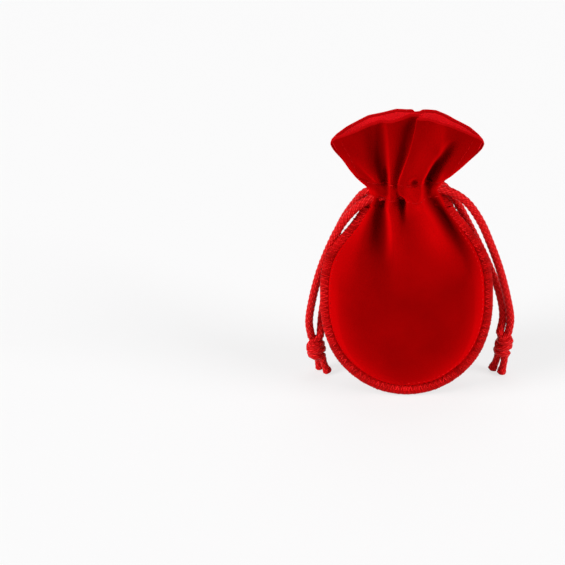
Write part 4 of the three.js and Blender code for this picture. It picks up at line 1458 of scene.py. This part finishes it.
def mix_for_camera(tree, output, usual, seen, share):
    """Shows the camera a share of another shader. Everything else gets the usual one."""
    rays = tree.nodes.new("ShaderNodeLightPath")
    seen_share = math_node(tree, "MULTIPLY", rays.outputs["Is Camera Ray"], share)
    mix = add_node(tree, "ShaderNodeMixShader", {0: seen_share, 1: usual.outputs[0], 2: seen.outputs[0]})
    tree.links.new(mix.outputs[0], tree.nodes[output].inputs["Surface"])


def add_floor():
    points = [(x * FLOOR_SIZE, y * FLOOR_SIZE, 0) for x, y in ((-1, -1), (1, -1), (1, 1), (-1, 1))]
    material, tree, shader = new_material("pale_floor")
    set_inputs(tree, shader, {"Base Color": FLOOR_COLOUR, "Roughness": 0.7, "Specular IOR Level": 0.1})
    glow = add_node(tree, "ShaderNodeEmission", {"Color": WHITE, "Strength": 1.0})
    mix_for_camera(tree, "Material Output", shader, glow, FLOOR_WHITENESS)
    add_mesh("floor", points, [(0, 1, 2, 3)], [material])


def add_sun(name, come_from, spread, strength):
    data = bpy.data.lights.new(name, "SUN")
    data.angle = math.radians(spread)
    data.energy = strength
    add_object(name, data).rotation_euler = Vector(come_from).to_track_quat("Z", "Y").to_euler()


def add_world():
    """An even studio: white where the camera looks past the floor, dimmer as a light."""
    world = bpy.data.worlds.new("studio")
    bpy.context.scene.world = world
    world.use_nodes = True
    tree = world.node_tree
    room = tree.nodes["Background"]
    set_inputs(tree, room, {"Color": WHITE, "Strength": ROOM_STRENGTH})
    backdrop = add_node(tree, "ShaderNodeBackground", {"Color": WHITE, "Strength": 1.0})
    mix_for_camera(tree, "World Output", room, backdrop, 1.0)


add_floor()
add_world()
for name, (come_from, spread, strength) in SOFTBOXES.items():
    add_sun(name, come_from, spread, strength)
bpy.context.scene.view_settings.view_transform = "Standard"


# How the pieces would follow the frame: the follow of the mouth halves is worked out, but each piece is only
# baked in place and the model's parts it replaces hidden
# Where the neck starts to follow its mouth half and where it follows fully: distances from the middle,
# towards the half's own side
FOLLOW_START = {LEFT: -1.7 * MM, RIGHT: 1.8 * MM}
SLIDE_FULL = {LEFT: 13.6 * MM, RIGHT: 13.2 * MM}
# How fast the follow fades down the body and up the collar
BODY_FADE = {LEFT: 0.083 / MM, RIGHT: 0.104 / MM}
COLLAR_FADE = 0.035 / MM
# Where the wound band starts to follow its mouth half, and where it follows fully: distance from the middle
# and level, millimetres
BAND_FOLLOW = {LEFT: ((29, 50), (12, 77)), RIGHT: ((26, 50), (14, 71))}


def blend_ends(half, band):
    """Where the follow of a mouth half starts and ends, so that the pieces agree at their joins."""
    if band == "wound band":
        return tuple((half * out * MM, 0, level * MM) for out, level in BAND_FOLLOW[half])
    reach = SLIDE_FULL[half] - FOLLOW_START[half]
    gradient = np.array([half / reach, 0, 0])
    level = NECK_BASE
    if band == "body":
        gradient[2] = BODY_FADE[half]
    if band == "collar":
        gradient[2] = -COLLAR_FADE
        level = COLLAR_BASE
    start = np.array([half * FOLLOW_START[half], 0, level])
    end = start + gradient / np.dot(gradient, gradient)
    return tuple(start), tuple(end)


# Flat size of the whole cloth of one face, and how much of that rectangle it fills
FLAT_SIZES = {
    "body": (90 * MM, 78 * MM, 0.88), "neck": (78 * MM, 11 * MM, 1.0), "collar": (78 * MM, 22 * MM, 1.0),
}


def follow_mouth(piece, half, band, slot, *nodes):
    start, end = blend_ends(half, band)
    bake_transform(piece)
    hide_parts(*nodes)


for side in (FRONT, BACK):
    for half in (LEFT, RIGHT):
        for band in ("body", "neck", "collar"):
            piece = cloth[side, half, band]
            face = FACE_NAMES[side]
            node = f"{face}_panel" if band == "body" else f"{face}_{SIDE_NAMES[half]}_collar"
            follow_mouth(piece, half, band, "velvet", node)
            width, length, area_share = FLAT_SIZES[band]
            width = width * (1 - half * SPLIT_AT) / 2

for (half, band), pieces in edge_pieces.items():
    for piece in pieces:
        if "needle" in piece.name:
            node = "front_seam_line" if "front" in piece.name else "back_seam_line"
            follow_mouth(piece, half, band, "sewing_thread", node)
        else:
            follow = "wound band" if band == "body" else band
            follow_mouth(piece, half, follow, "sewing_thread", "overlocked_edge")
for (side, half, row_name), piece in channel_stitches.items():
    node = f"{FACE_NAMES[side]}_{SIDE_NAMES[half]}_{row_name}_stitch"
    follow_mouth(piece, half, "neck", "sewing_thread", node)
for (side, half), piece in side_stitches.items():
    follow_mouth(piece, half, "collar", "sewing_thread", f"{FACE_NAMES[side]}_{SIDE_NAMES[half]}_side_stitch")
for (half, node), piece in inner_cords.items():
    follow_mouth(piece, half, "neck", "cord", node)

# The strands hang from their loop's body, the knots and tails from their knot's body; the model's cords are
# hidden
for label, strand in strands.items():
    side, face = label.split("_")
    path = strand_paths[label]
    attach(strand, f"{side}_loop")
    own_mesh(strand)
    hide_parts(f"{side}_cord_{face}_strand")
for side in ("left", "right"):
    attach(knots[side], f"{side}_knot")
    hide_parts(f"{side}_cord_knot")
    for i in range(2):
        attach(tails[side, i], f"{side}_knot")
        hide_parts(f"{side}_cord_tail_{i + 1}")
